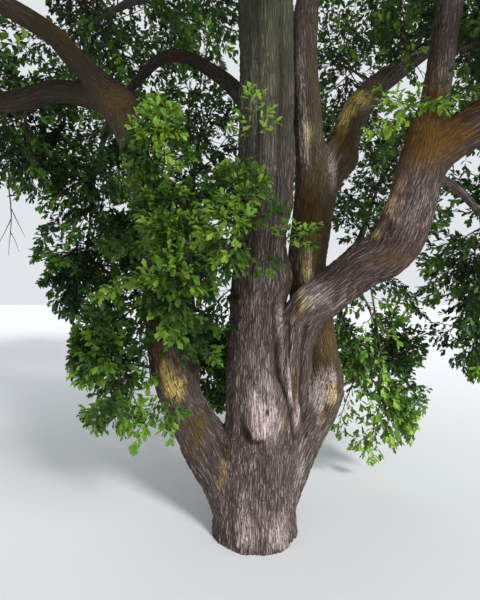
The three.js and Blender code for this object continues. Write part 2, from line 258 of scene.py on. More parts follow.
def foot_radius(turn, height):
    """The radius of the trunk's foot, which fades into the stems above the fork."""
    flare = FLARE * np.maximum(0, 1 - height / FLARE_HEIGHT) ** 2
    column = between(FOOT_RADIUS, FORK_RADIUS, (np.minimum(height, FORK_HEIGHT) / FORK_HEIGHT) ** 2)
    column = column - FORK_FADE * np.maximum(0, height - FORK_HEIGHT)
    return column + flare * (1 + RIDGE_SHARE * np.cos(ROOT_RIDGES * turn))


def wood_round(points):
    """The whole tree's wood as one smooth surface: distance off it, way out, and the bark coordinates."""
    count = len(points)
    fillet = between(FOOT_FILLET, CROTCH_FILLET, smooth_step(0.0, FILLET_GROWTH, points[:, 2]))
    total, slope, thick = np.zeros(count), np.zeros((count, 3)), np.zeros(count)
    grain, share, strongest = np.zeros((3, count, 3)), np.zeros((3, count)), np.zeros((3, count))
    for limb in limb_frames:
        low, high = limb["at"].min(0) - NEAR_LIMB, limb["at"].max(0) + NEAR_LIMB
        near = np.flatnonzero(((points > low) & (points < high)).all(1))
        if not len(near):
            continue
        far, out, place, radius = beside_limb(limb, points[near])
        if limb["name"] == "leader":
            x, y, z = points[near].T
            foot = np.hypot(x, y / FOOT_DEPTH) - foot_radius(np.arctan2(y / FOOT_DEPTH, x), z)
            far = np.minimum(far, foot)
        pull = np.exp(-np.maximum(far, DEEPEST) / fillet[near])
        total[near] += pull
        slope[near] += pull[:, None] * out
        thick[near] += pull * radius
        group = limb["group"]
        share[group, near] += pull
        leads = pull > strongest[group, near]
        grain[group, near[leads]] = place[leads]
        strongest[group, near[leads]] = pull[leads]
    total = np.maximum(total, TINY)
    return -fillet * np.log(total), unit(slope), grain, share / total, thick / total


# Bark
# Thick oak bark, split into long plates with dark furrows between them as the wood under it grew. It covers
# trunk, stems and boughs as one skin, with a burl, a pit and an old wound in it, and moss and lichen on it.
PLATE_WIDTH = 0.05
PLATE_LENGTH = 0.24
PLATE_BEND = [2.2, 2.2, 1.0]
PLATE_BEND_SIZE = 0.13
PLATE_STEP = 0.45
FURROW_FLOOR = 0.02
FURROW_SHARE = 0.34
FURROW_DEPTH = 0.04
DEEPEST_FURROW = 0.013
# Flutes run up each limb: broad ones that sway, and finer ones that wind round it. Swells are slower bumps.
BROAD_FLUTES = 6
FLUTE_START = 2
FLUTE_SWAY = 1.6
SWAYS_PER_METRE = 1.1
FINE_FLUTES = 11
FINE_FLUTE_SHARE = 0.6
WIND_PER_METRE = 0.9
FLUTE_DEPTH = 0.025
SWELL = 0.09
# Each noise has a salt of its own, a number that makes it differ from the others. A double noise is given by
# its coarse size, its fine size, the fine one's share and the salt.
BEND_SALTS = (3, 4, 5)
SEED_SALTS = (6, 7, 8)
PLATE_SALT = 9
SWELL_NOISE = (0.42, 0.2, 0.5, 11)
PATCH_NOISE = (0.10, 0.045, 0.6, 13)
MIXERS = np.array([73856093, 19349663, 83492791, 1274126177, 2246822519], np.uint32)
SALT_MIXER = 2654435


def hashed(cells, salt):
    """A number from 0 to 1 for each whole-numbered cell, always the same one."""
    x, y, z = np.moveaxis(cells.astype(np.int64).astype(np.uint32), -1, 0)
    mixed = x * MIXERS[0] ^ y * MIXERS[1] ^ z * MIXERS[2]
    mixed = (mixed ^ np.uint32(salt * SALT_MIXER)) * MIXERS[3]
    mixed = (mixed ^ (mixed >> np.uint32(15))) * MIXERS[4]
    return (mixed ^ (mixed >> np.uint32(13))) / 2.0**32


def smooth_noise(points, size, salt):
    """Noise from 0 to 1 that changes smoothly over about the given size."""
    place = points / size
    cell = np.floor(place)
    share = smooth_step(0, 1, place - cell)
    total = np.zeros(len(points))
    for corner in itertools.product((0, 1), repeat=3):
        weight = np.where(corner, share, 1 - share).prod(axis=-1)
        total += weight * hashed(cell + corner, salt)
    return total


def double_noise(points, coarse, fine, share, salt):
    total = smooth_noise(points, coarse, salt) + share * smooth_noise(points, fine, salt + 1)
    return total - 0.5 * (1 + share)


def bark_plates(grain):
    """How deep each point lies in a furrow, 0 to 1, and a number for the plate that it is on."""
    place = grain / [PLATE_WIDTH, PLATE_WIDTH, PLATE_LENGTH]
    bend = [smooth_noise(grain, PLATE_BEND_SIZE, salt) - 0.5 for salt in BEND_SALTS]
    place = place + np.stack(bend, axis=1) * PLATE_BEND
    cell = np.floor(place)
    first = np.full(len(place), np.inf)
    second = first.copy()
    plate = np.zeros(len(place))
    for step in itertools.product((-1, 0, 1), repeat=3):
        there = cell + step
        seed = there + np.stack([hashed(there, salt) for salt in SEED_SALTS], axis=1)
        far = np.linalg.norm(seed - place, axis=1)
        nearer = far < first
        second = np.where(nearer, first, np.minimum(second, far))
        plate[nearer] = hashed(there[nearer], PLATE_SALT)
        first = np.where(nearer, far, first)
    return 1 - smooth_step(FURROW_FLOOR, FURROW_SHARE, second - first), plate


# Places where the wood itself bulges or dips: middle, size along x, y and z, and how far it stands out.
MARKS = {
    "burl": [(0.005, -0.36, 1.245), (0.100, 0.20, 0.110), 0.120],
    "under_burl": [(0.0, -0.40, 1.08), (0.10, 0.18, 0.040), -0.018],
    "hollow": [(-0.075, -0.44, 1.20), (0.035, 0.16, 0.045), -0.080],
    "pit": [(0.125, -0.40, 1.42), (0.020, 0.16, 0.028), -0.040],
    "shoulder": [(-0.95, -0.06, 1.20), (0.10, 0.14, 0.075), 0.080],
    "wound": [(0.74, 0.0, 1.50), (0.075, 0.20, 0.16), -0.025],
    "wound_side": [(0.90, 0.05, 1.50), (0.06, 0.16, 0.22), 0.035],
    "wound_top": [(0.72, 0.0, 1.74), (0.12, 0.18, 0.05), 0.025],
    "elbow_side": [(1.50, -0.62, 4.28), (0.10, 0.20, 0.16), 0.060],
    "left_fork": [(-1.45, -0.45, 4.55), (0.16, 0.20, 0.16), 0.040],
    "back_fork": [(1.22, 0.45, 4.26), (0.17, 0.35, 0.19), 0.085],
    "leader_side": [(0.35, -0.15, 4.00), (0.13, 0.40, 0.36), 0.060],
    "leader_rib": [(0.35, -0.13, 3.60), (0.13, 0.35, 0.15), 0.040],
    "leader_foot": [(0.34, -0.10, 2.82), (0.13, 0.35, 0.22), 0.075],
}
# Seams where stems have grown together, as lines of x and z on the front, each with its width and depth, and
# darkened with painted shade. They fade out between these two values of y.
SEAM_FADE = (0.1, -0.2)
SEAMS = [
    [[(0.21, 2.55), (0.215, 2.17), (0.23, 1.79), (0.32, 1.54), (0.375, 1.32), (0.44, 1.08)], 0.028, 0.050],
    [[(0.52, 2.30), (0.49, 2.00), (0.485, 1.63), (0.53, 1.25), (0.56, 1.05)], 0.026, 0.045],
    [[(0.34, 2.35), (0.345, 2.00), (0.40, 1.62), (0.44, 1.36)], 0.016, 0.022],
    [[(-0.52, 1.42), (-0.40, 1.15), (-0.33, 0.90)], 0.030, 0.022],
    [[(0.60, 1.62), (0.61, 1.45), (0.67, 1.28)], 0.018, 0.022],
    [[(0.20, 5.70), (0.24, 4.70), (0.22, 3.90), (0.16, 3.10)], 0.022, 0.022],
    [[(-0.02, 5.60), (0.02, 4.60), (0.00, 3.60)], 0.025, 0.014],
]
# What lies on the bark or colours it, and the light and shade painted on it. Each has its colour, how far it
# breaks up into specks, how far it fills the furrows, and its places, each a middle, a size along x, y and z,
# and a strength. Besides moss, algae, rust and lichen, they are painted shade where the crown's shade falls,
# lichen with painted sunlight on it, pale bark that is partly worn and partly painted sunlight and
# highlights, and painted shadow round the burl, in its hollow and pit, under the shoulder and beside the
# wound.
TINTS = {
    "moss": [(0.092, 0.072, 0.016), 0.7, 0.3, [
        [(0.75, 0.3, 3.0), (0.4, 0.5, 1.4), 1.6], [(1.3, 0.7, 5.0), (0.6, 0.8, 0.9), 1.5],
        # The places on the left boughs, at x below -1.2, are partly moss and partly painted shade from the
        # crown.
        [(0.62, 0.3, 5.5), (0.2, 0.4, 1.2), 0.6], [(-1.4, -0.4, 4.4), (0.6, 0.6, 0.9), 1.8],
        [(1.22, 0.4, 4.35), (0.2, 0.4, 0.2), 1.5], [(-2.0, -0.8, 5.05), (0.6, 0.5, 0.25), 2.2],
        [(0.78, 0.1, 2.0), (0.25, 0.4, 0.5), 1.2], [(-0.62, -0.2, 1.25), (0.2, 0.3, 0.3), 0.8],
        [(0.0, 2.5, 3.0), (2.0, 2.4, 3.5), 0.5],
    ]],
    "algae": [(0.082, 0.114, 0.055), 0.5, 0.3, [
        [(0.1, -0.65, 5.9), (0.42, 0.7, 1.7), 2.2], [(-0.05, -0.5, 4.2), (0.14, 0.4, 0.6), 0.6],
    ]],
    # Painted shade: darker bark where the crown's shade falls, on the boughs, the stems and their undersides.
    "damp": [(0.03, 0.024, 0.013), 0.3, 0.0, [
        [(-2.5, -0.7, 5.0), (1.2, 1.6, 0.8), 0.9], [(-0.8, 0.5, 5.5), (1.1, 1.2, 0.7), 2.5],
        [(-0.74, 0.1, 2.1), (0.12, 0.3, 0.8), 1.5], [(1.75, 0.6, 5.0), (0.3, 0.4, 0.5), 0.4],
        [(-0.58, -0.2, 0.85), (0.28, 0.4, 0.4), 0.6], [(1.85, -0.65, 5.15), (0.25, 0.4, 0.45), 1.2],
        [(1.75, -0.7, 3.84), (0.25, 0.4, 0.12), 0.5], [(1.1, 0.3, 4.6), (0.12, 0.3, 0.2), 0.8],
        [(0.26, -0.6, 4.5), (0.09, 0.4, 0.5), 0.8], [(-2.3, -0.4, 4.7), (0.6, 0.5, 0.2), 1.5],
    ]],
    "rust": [(0.082, 0.042, 0.028), 0.4, 0.0, [
        [(1.3, -0.6, 3.2), (0.7, 0.6, 0.9), 0.6], [(2.2, -0.9, 4.2), (0.7, 0.6, 0.3), 1.2],
        # The last place here is painted shade: it browns the shadow at the burl's left.
        [(0.12, -0.5, 4.6), (0.2, 0.4, 0.7), 0.25], [(-0.085, -0.44, 1.27), (0.05, 0.2, 0.07), 2.5],
    ]],
    "lichen": [(0.19, 0.092, 0.005), 0.8, 0.6, [
        [(-0.87, -0.25, 1.7), (0.12, 0.4, 0.15), 1.0], [(-0.98, -0.2, 2.0), (0.12, 0.4, 0.26), 1.0],
        [(-0.62, -0.2, 1.2), (0.08, 0.3, 0.22), 0.7], [(-0.34, -0.4, 0.8), (0.045, 0.2, 0.2), 1.0],
        [(-0.74, -0.2, 0.98), (0.06, 0.2, 0.12), 0.7], [(0.84, 0.0, 1.54), (0.04, 0.3, 0.14), 1.2],
        [(0.78, 0.0, 1.33), (0.05, 0.3, 0.14), 1.0], [(0.46, -0.4, 2.5), (0.06, 0.3, 0.2), 0.9],
        [(1.5, -0.8, 4.07), (0.18, 0.5, 0.2), 2.6], [(1.72, -0.85, 4.07), (0.16, 0.5, 0.14), 2.6],
        [(1.62, -0.8, 4.34), (0.16, 0.5, 0.16), 1.5], [(1.32, -0.55, 3.64), (0.09, 0.3, 0.22), 2.2],
        [(1.28, -0.5, 3.42), (0.08, 0.3, 0.14), 1.0], [(1.66, -0.7, 4.62), (0.1, 0.3, 0.16), 1.0],
        [(0.66, 0.1, 3.5), (0.2, 0.4, 0.45), 0.9], [(0.8, 0.1, 2.2), (0.2, 0.4, 0.4), 0.7],
        [(1.05, 0.4, 4.6), (0.16, 0.4, 0.3), 1.0], [(2.15, -0.9, 4.35), (0.4, 0.4, 0.16), 0.6],
        [(-1.3, -0.4, 4.6), (0.25, 0.4, 0.2), 0.5], [(-1.75, -0.6, 5.1), (0.12, 0.3, 0.08), 0.9],
        [(1.3, -0.6, 3.0), (0.3, 0.3, 0.12), 0.5], [(0.3, -0.4, 1.32), (0.035, 0.2, 0.1), 1.2],
        [(-0.075, -0.44, 1.31), (0.04, 0.2, 0.04), 1.2], [(0.43, -0.4, 1.5), (0.045, 0.2, 0.4), 0.9],
    ]],
    # Lichen with painted sunlight on it, in bright patches on the stems, the wound and the boughs.
    "gold": [(0.88, 0.66, 0.2), 0.9, 0.7, [
        [(-0.85, -0.25, 1.66), (0.09, 0.3, 0.12), 3.0], [(-0.95, -0.25, 1.85), (0.05, 0.3, 0.08), 2.0],
        [(-0.32, -0.42, 0.88), (0.028, 0.2, 0.1), 1.3], [(0.86, 0.0, 1.54), (0.04, 0.3, 0.12), 3.0],
        [(0.77, 0.0, 1.34), (0.03, 0.3, 0.1), 0.8], [(1.1, 0.3, 4.86), (0.07, 0.4, 0.16), 2.5],
        [(1.32, 0.5, 5.1), (0.14, 0.4, 0.1), 3.0], [(0.62, 0.1, 4.52), (0.05, 0.3, 0.14), 1.3],
        [(0.62, 0.1, 2.95), (0.06, 0.3, 0.16), 1.5], [(0.47, -0.4, 2.58), (0.03, 0.3, 0.1), 0.9],
        [(1.17, -0.5, 3.26), (0.05, 0.3, 0.05), 0.7], [(1.29, -0.55, 3.56), (0.04, 0.3, 0.12), 0.9],
        [(-0.37, -0.42, 0.68), (0.028, 0.2, 0.09), 1.0], [(1.21, 0.4, 5.02), (0.09, 0.4, 0.12), 4.0],
        [(0.5, -0.4, 2.6), (0.05, 0.3, 0.1), 1.2],
    ]],
    # Pale bark, partly worn and partly painted sunlight and highlights: on the burl, the ridges by the seams,
    # the wound and the foot.
    "pale": [(0.78, 0.63, 0.59), 0.9, 0.5, [
        [(0.05, -0.36, 1.52), (0.12, 0.25, 0.18), 1.6], [(0.07, -0.46, 1.33), (0.09, 0.2, 0.11), 3.0],
        [(0.04, -0.5, 1.21), (0.05, 0.2, 0.035), 3.0], [(0.18, -0.36, 1.36), (0.08, 0.25, 0.2), 1.6],
        [(0.1, -0.36, 1.76), (0.07, 0.25, 0.18), 0.5], [(0.74, 0.0, 1.56), (0.085, 0.3, 0.14), 6.0],
        [(0.72, 0.0, 1.3), (0.04, 0.3, 0.1), 0.9], [(-0.12, -0.45, 0.52), (0.06, 0.2, 0.14), 0.5],
        [(-0.1, -0.47, 0.22), (0.09, 0.2, 0.16), 1.8], [(0.28, -0.44, 0.18), (0.16, 0.2, 0.2), 1.2],
        [(0.52, -0.3, 0.8), (0.05, 0.3, 0.16), 1.1], [(0.5, -0.25, 0.5), (0.05, 0.3, 0.25), 1.0],
        [(0.27, -0.35, 2.15), (0.025, 0.2, 0.38), 2.6], [(0.36, -0.35, 1.72), (0.028, 0.2, 0.22), 3.0],
        [(0.45, -0.35, 1.38), (0.03, 0.2, 0.14), 2.6], [(0.88, 0.0, 1.72), (0.04, 0.3, 0.07), 2.0],
        [(0.6, 0.0, 1.72), (0.05, 0.3, 0.1), 0.6], [(0.08, -0.4, 2.95), (0.1, 0.3, 0.35), 0.25],
        [(0.15, -0.6, 3.75), (0.08, 0.3, 0.3), 0.4], [(0.02, -0.6, 4.5), (0.1, 0.4, 0.4), 0.3],
        [(0.72, -0.35, 2.62), (0.25, 0.3, 0.16), 0.45], [(1.4, -0.7, 3.5), (0.22, 0.4, 0.3), 0.45],
        [(0.6, 0.15, 4.38), (0.05, 0.3, 0.26), 1.3], [(0.94, 0.3, 4.16), (0.045, 0.3, 0.22), 1.5],
        [(0.56, 0.1, 5.2), (0.06, 0.3, 0.5), 0.5], [(1.9, -0.8, 4.75), (0.1, 0.3, 0.3), 0.3],
        [(1.85, 0.9, 5.76), (0.3, 0.4, 0.08), 1.0], [(0.54, -0.4, 2.71), (0.11, 0.3, 0.11), 1.6],
        [(0.62, 0.1, 3.0), (0.05, 0.3, 0.18), 0.7],
    ]],
    # Painted shadow round and under the burl, in its hollow and pit, under the left shoulder and beside the
    # wound.
    "dark": [(0.016, 0.011, 0.009), 0.0, 0.0, [
        [(-0.09, -0.46, 1.2), (0.048, 0.18, 0.06), 3.0], [(-0.055, -0.44, 1.135), (0.035, 0.18, 0.028), 2.0],
        [(0.005, -0.44, 1.112), (0.045, 0.18, 0.022), 2.2],
        [(0.065, -0.44, 1.14), (0.028, 0.18, 0.024), 1.2], [(0.125, -0.42, 1.42), (0.016, 0.16, 0.026), 5.0],
        [(-0.9, -0.1, 1.13), (0.1, 0.2, 0.04), 0.9], [(-0.13, -0.4, 1.3), (0.03, 0.18, 0.1), 0.8],
        [(0.66, 0.0, 1.62), (0.025, 0.3, 0.12), 0.6], [(0.66, 0.0, 1.38), (0.025, 0.3, 0.1), 0.5],
    ]],
}
PATCH_CONTRAST = 1.6
TINT_EDGE = 1.6
HALF_TINTED = 0.5
FAINT = 0.04


def nearness(points, middle, size):
    return np.exp(-(((points - middle) / size) ** 2).sum(1))


def sum_of_places(points, places):
    return sum(strength * nearness(points, middle, size) for middle, size, strength in places)


def nearness_to_seam(points, line, width):
    """1 along a line of x and z on the front, and less away from it."""
    nearest = np.full(len(points), np.inf)
    flat = points[:, [0, 2]]
    for start, end in zip(np.array(line), np.array(line)[1:]):
        step = end - start
        share = np.clip((flat - start) @ step / (step @ step), 0, 1)
        nearest = np.minimum(nearest, np.linalg.norm(flat - start - share[:, None] * step, axis=1))
    return np.exp(-((nearest / width) ** 2)) * smooth_step(*SEAM_FADE, points[:, 1])


def dress_bark(points, out, grain, share, thick):
    """Moves points in and out to the bark's relief, and returns them with the numbers that colour it."""
    furrow, plate, flute = (np.zeros(len(points)) for _ in range(3))
    for group in GRAIN_GROUPS:
        mine = np.flatnonzero(share[group] > FAINT)
        own_share, own_grain = share[group, mine], grain[group, mine]
        depth, number = bark_plates(own_grain)
        furrow[mine] += own_share * depth
        plate[mine] += own_share * number
        turn = np.arctan2(own_grain[:, 1], own_grain[:, 0])
        run = own_grain[:, 2]
        broad = np.sin(BROAD_FLUTES * turn + FLUTE_SWAY * np.sin(SWAYS_PER_METRE * run) + FLUTE_START)
        fine = FINE_FLUTE_SHARE * np.sin(FINE_FLUTES * turn - WIND_PER_METRE * run)
        flute[mine] += own_share * (broad + fine)
    depth = np.minimum(FURROW_DEPTH * thick, DEEPEST_FURROW)
    swell = double_noise(points, *SWELL_NOISE)
    rise = depth * (PLATE_STEP * plate - furrow) + thick * (FLUTE_DEPTH * flute + SWELL * swell)
    for middle, size, height in MARKS.values():
        rise = rise + height * nearness(points, middle, size)
    seam = np.zeros(len(points))
    for line, width, sunk in SEAMS:
        near = nearness_to_seam(points, line, width)
        rise = rise - sunk * near
        seam = np.maximum(seam, near)
    patch = double_noise(points, *PATCH_NOISE)
    numbers = {"furrow": furrow, "plate": plate, "seam": seam}
    for name, (_, broken, _, places) in TINTS.items():
        amount = sum_of_places(points, places)
        amount = (amount * np.maximum(0, 1 + PATCH_CONTRAST * broken * patch)) ** TINT_EDGE
        numbers[name] = amount / (amount + HALF_TINTED)
    return points + rise[:, None] * out, numbers


# The skin starts as plain tubes, which run on past the ends of its piece and are merged on a grid.
RING_SIDES = 20
TUBE_OVERLAP = 0.4
FOOT_RINGS = 12
FOOT_BOTTOM = -0.1
FOOT_TOP = FORK_HEIGHT + 0.3


def rings_round(at, along, side, radius, sides):
    """Rings of corners round lines, square to them."""
    turns = 2 * np.pi * np.arange(sides) / sides
    ring = (side[..., None, :] * np.cos(turns)[:, None]
            + np.cross(along, side)[..., None, :] * np.sin(turns)[:, None])
    return at[..., None, :] + radius[..., None, None] * ring


def walls_between(rings):
    """Faces from each ring to the next one along the same tube."""
    place = np.arange(rings[..., 0].size).reshape(rings.shape[:-1])
    a, b = place[..., :-1, :], np.roll(place, -1, axis=-1)[..., :-1, :]
    sides = place.shape[-1]
    return np.stack([a, b, b + sides, a + sides], axis=-1).reshape(-1, 4)


def rough_wood(low, high):
    """Plain closed tubes for the limbs between two heights, which overlap where they meet."""
    tubes = []
    for limb in limb_frames:
        height = limb["at"][:, 2]
        inside = np.flatnonzero((height > low - TUBE_OVERLAP) & (height < high + TUBE_OVERLAP))
        if len(inside) > 1:
            stations = slice(inside[0], inside[-1] + 1)
            shape = [limb[key][stations] for key in ("at", "along", "side", "radius")]
            tubes.append(rings_round(*shape, RING_SIDES))
    if low <= 0:
        turns = 2 * np.pi * np.arange(RING_SIDES) / RING_SIDES
        height = np.linspace(FOOT_BOTTOM, FOOT_TOP, FOOT_RINGS)[:, None]
        radius = foot_radius(turns, np.maximum(height, 0))
        x, y = radius * np.cos(turns), FOOT_DEPTH * radius * np.sin(turns)
        tubes.append(np.stack([x, y, np.broadcast_to(height, x.shape)], axis=-1))
    corners, faces = [], []
    for rings in tubes:
        first = len(corners)
        corners.extend(rings.reshape(-1, 3))
        faces += (first + walls_between(rings)).tolist()
        faces.append(range(first + RING_SIDES - 1, first - 1, -1))
        faces.append(range(len(corners) - RING_SIDES, len(corners)))
    return corners, faces


def add_object(name, data):
    thing = bpy.data.objects.new(name, data)
    bpy.context.scene.collection.objects.link(thing)
    return thing


def add_piece(name, parts, material, nodes):
    """One piece of the tree from sets of corners and faces that all have the same number of sides."""
    first, all_faces = 0, []
    for corners, faces in parts:
        all_faces.append(faces + first)
        first += len(corners)
    corners, faces = np.concatenate([corners for corners, _ in parts]), np.concatenate(all_faces)
    mesh = bpy.data.meshes.new(name)
    number, sides = faces.shape
    mesh.vertices.add(len(corners))
    mesh.vertices.foreach_set("co", corners.ravel())
    mesh.loops.add(number * sides)
    mesh.loops.foreach_set("vertex_index", faces.ravel())
    mesh.polygons.add(number)
    mesh.polygons.foreach_set("loop_start", np.arange(0, number * sides, sides))
    mesh.update(calc_edges=True)
    mesh.materials.append(material)
    piece = add_object(name, mesh)
    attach(piece, "root")
    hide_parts(*nodes)
    return piece


def add_numbers(mesh, name, values):
    kind, field = ("FLOAT", "value") if values.ndim == 1 else ("FLOAT_VECTOR", "vector")
    mesh.attributes.new(name, kind, "POINT").data.foreach_set(field, values.ravel())


def mesh_arrays(mesh):
    points = np.empty(len(mesh.vertices) * 3)
    mesh.vertices.foreach_get("co", points)
    corners = np.empty(len(mesh.loops), int)
    mesh.loops.foreach_get("vertex_index", corners)
    return points.reshape(-1, 3), corners.reshape(-1, 4)


# The merged tubes are softened, cut off just past their ends and moved onto the wood in a few steps.
SOFTEN_TIMES = 3
FIT_TIMES = 3
FIT_STEP = 0.05
PIECE_OVERLAP = 0.02
LOWEST_FACE = -0.03


def add_bark(name, low, high, voxel):
    """One piece of the bark between two heights, from tubes merged on a grid and then drawn onto the wood."""
    corners, faces = rough_wood(low, high)
    blank_mesh = bpy.data.meshes.new("blank")
    blank_mesh.from_pydata(corners, [], faces)
    blank = add_object("blank", blank_mesh)
    merge = blank.modifiers.new("merge", "REMESH")
    merge.mode = "VOXEL"
    merge.voxel_size = voxel
    soften = blank.modifiers.new("soften", "SMOOTH")
    soften.factor = 0.5
    soften.iterations = SOFTEN_TIMES
    points, quads = mesh_arrays(blank.evaluated_get(bpy.context.evaluated_depsgraph_get()).data)
    bpy.data.objects.remove(blank)
    bpy.data.meshes.remove(blank_mesh)
    middle = points[quads, 2].mean(axis=1)
    quads = quads[(middle > max(low - PIECE_OVERLAP, LOWEST_FACE)) & (middle < high + PIECE_OVERLAP)]
    used, quads = np.unique(quads, return_inverse=True)
    points, quads = points[used], quads.reshape(-1, 4)
    for _ in range(FIT_TIMES):
        far, out, *_ = wood_round(points)
        points = points - np.clip(far, -FIT_STEP, FIT_STEP)[:, None] * out
    _, out, grain, share, thick = wood_round(points)
    points, numbers = dress_bark(points, out, grain, share, thick)
    points[:, 2] = np.maximum(points[:, 2], 0)
    piece = add_piece(name, [(points, quads)], bark, wood_nodes)
    numbers |= {f"grain_{group}": grain[group] for group in GRAIN_GROUPS}
    numbers["grain_share"] = share.T
    for key, values in numbers.items():
        add_numbers(piece.data, key, values)
    piece.data.shade_smooth()


def plain_material(name, colour, roughness, gloss=0.3):
    material = bpy.data.materials.new(name)
    material.use_nodes = True
    shader = material.node_tree.nodes["Principled BSDF"]
    shader.inputs["Base Color"].default_value = (*colour, 1)
    shader.inputs["Roughness"].default_value = roughness
    shader.inputs["Specular IOR Level"].default_value = gloss
    return material


# The furrow colour is painted shade, laid into the cracks, the furrows and the seams.
FURROW_SHADE_COLOUR = (0.026, 0.019, 0.017)
BARK_COLOUR = (0.116, 0.083, 0.075)
RIDGE_COLOUR = (0.380, 0.288, 0.275)
BARK_ROUGHNESS = 0.92
# The pattern's ribbons and streaks by their number to the metre across and along the grain.
RIBBONS = (1 / 0.024, 1 / 0.024, 1 / 0.27)
STREAKS = (1 / 0.010, 1 / 0.010, 1 / 0.20)
RIBBON_BEND = (1.7, 1.7, 1.0)
BENDS_PER_METRE = 9.0
SPECKS_PER_METRE = 40.0
CLOUDS_PER_METRE = 2.5
RIDGE_EDGE = (0.02, 0.26)
STREAK_RANGE = (0.30, 0.72)
PLATE_LIGHT = 0.25
CLOUD_LIGHT = 1.3
LIGHT_OFFSET = 0.82
SPECK_SHARE = 0.4
CRACK_SHADE = 0.86
FURROW_SHADE = 0.50
SEAM_SHADE = 0.9
STREAK_HEIGHT = 0.8
BUMP_STRENGTH = 0.8
BUMP_DEPTH = 0.012
# A tint starts on one height of speck and is full on another, and both rise with how far it breaks up.
TINT_START = -0.3
TINT_START_RISE = 0.68
TINT_FULL = 0.2
TINT_FULL_RISE = 0.42
bark = plain_material("oak_bark", BARK_COLOUR, BARK_ROUGHNESS, gloss=0.2)
bark_tree = bark.node_tree


def put(kind, inputs, **settings):
    """A node of the bark's shader with its settings made and its inputs linked or set."""
    node = bark_tree.nodes.new("ShaderNode" + kind)
    for name, value in settings.items():
        setattr(node, name, value)
    for name, value in inputs.items():
        if isinstance(value, bpy.types.NodeSocket):
            bark_tree.links.new(value, node.inputs[name])
        else:
            node.inputs[name].default_value = value
    return node


def carried(name, socket="Fac"):
    """One of the numbers that the bark's mesh carries."""
    return put("Attribute", {}, attribute_name=name).outputs[socket]


def figure(operation, a, b):
    return put("Math", {0: a, 1: b}, operation=operation).outputs[0]


def plus(a, b):
    return figure("ADD", a, b)


def times(a, b):
    return figure("MULTIPLY", a, b)


def bent(grain, size):
    """The grain's coordinates in ribbons or streaks of a size, bent a little out of line."""
    cells = put("VectorMath", {0: grain, 1: size}, operation="MULTIPLY").outputs[0]
    return put("VectorMath", {0: cells, 1: bend}, operation="ADD").outputs[0]


def noise(place, scale, detail, output="Fac"):
    return put("TexNoise", {"Vector": place, "Scale": scale, "Detail": detail}).outputs[output]


def spread(value, low, high):
    """The value spread over 0 to 1 between a low and a high."""
    inputs = {"Value": value, "From Min": low, "From Max": high}
    return put("MapRange", inputs, interpolation_type="SMOOTHSTEP").outputs[0]


def mix_colour(share, a, b):
    """Colour a where the share is 0 and colour b where it is 1."""
    sockets = {0: share, 6: a, 7: b}
    sockets = {key: (*value, 1) if isinstance(value, tuple) else value for key, value in sockets.items()}
    return put("Mix", sockets, data_type="RGBA").outputs[2]


place = put("TexCoord", {}).outputs["Object"]
bend = noise(place, BENDS_PER_METRE, 3.0, "Color")
bend = put("VectorMath", {0: bend, 1: RIBBON_BEND}, operation="MULTIPLY").outputs[0]
group_shares = put("SeparateXYZ", {0: carried("grain_share", "Vector")}).outputs
edge = streak = 0.0
for group in GRAIN_GROUPS:
    grain = carried(f"grain_{group}", "Vector")
    cracks = put("TexVoronoi", {"Vector": bent(grain, RIBBONS), "Scale": 1.0}, feature="DISTANCE_TO_EDGE")
    edge = plus(times(cracks.outputs["Distance"], group_shares[group]), edge)
    streak = plus(times(noise(bent(grain, STREAKS), 1.0, 2.0), group_shares[group]), streak)
ridge = spread(edge, *RIDGE_EDGE)
speck = noise(place, SPECKS_PER_METRE, 4.0)
speck = plus(times(speck, SPECK_SHARE), times(streak, 1 - SPECK_SHARE))
light = plus(spread(streak, *STREAK_RANGE), times(carried("plate"), PLATE_LIGHT))
light = plus(light, times(noise(place, CLOUDS_PER_METRE, 3.0), CLOUD_LIGHT))
colour = mix_colour(figure("SUBTRACT", light, LIGHT_OFFSET), BARK_COLOUR, RIDGE_COLOUR)
# A tint that breaks up more shows on fewer specks, and covers the cracks under it as far as it fills them.
filled = 0.0
for name, (tint, broken, fill, _) in TINTS.items():
    start, full = TINT_START + TINT_START_RISE * broken, TINT_FULL + TINT_FULL_RISE * broken
    share = times(carried(name), spread(speck, start, full))
    colour = mix_colour(share, colour, tint)
    filled = figure("MAXIMUM", times(share, fill), filled)
# Painted shade: the cracks between ribbons, the furrows and the seams are darkened towards the furrow colour.
sunk = times(figure("SUBTRACT", 1.0, ridge), CRACK_SHADE)
sunk = figure("MAXIMUM", sunk, times(carried("furrow"), FURROW_SHADE))
sunk = times(sunk, figure("SUBTRACT", 1.0, filled))
sunk = figure("MAXIMUM", sunk, times(carried("seam"), SEAM_SHADE))
height = plus(ridge, times(streak, STREAK_HEIGHT))
bump = put("Bump", {"Height": height, "Strength": BUMP_STRENGTH, "Distance": BUMP_DEPTH})
bark_shader = bark_tree.nodes["Principled BSDF"]
bark_tree.links.new(mix_colour(sunk, colour, FURROW_SHADE_COLOUR), bark_shader.inputs["Base Color"])
bark_tree.links.new(bump.outputs[0], bark_shader.inputs["Normal"])

# Three pieces, one above the other, each with its lowest and highest place and the size of its mesh.
BARK_PIECES = {
    "trunk_bark": [0.0, 2.4, 0.015],
    "bough_bark": [2.4, 4.9, 0.022],
    "crown_bark": [4.9, 10.0, 0.036],
}
wood_nodes = ["trunk", *LIMBS]
for name, (low, high, voxel) in BARK_PIECES.items():
    add_bark(name, low, high, voxel)

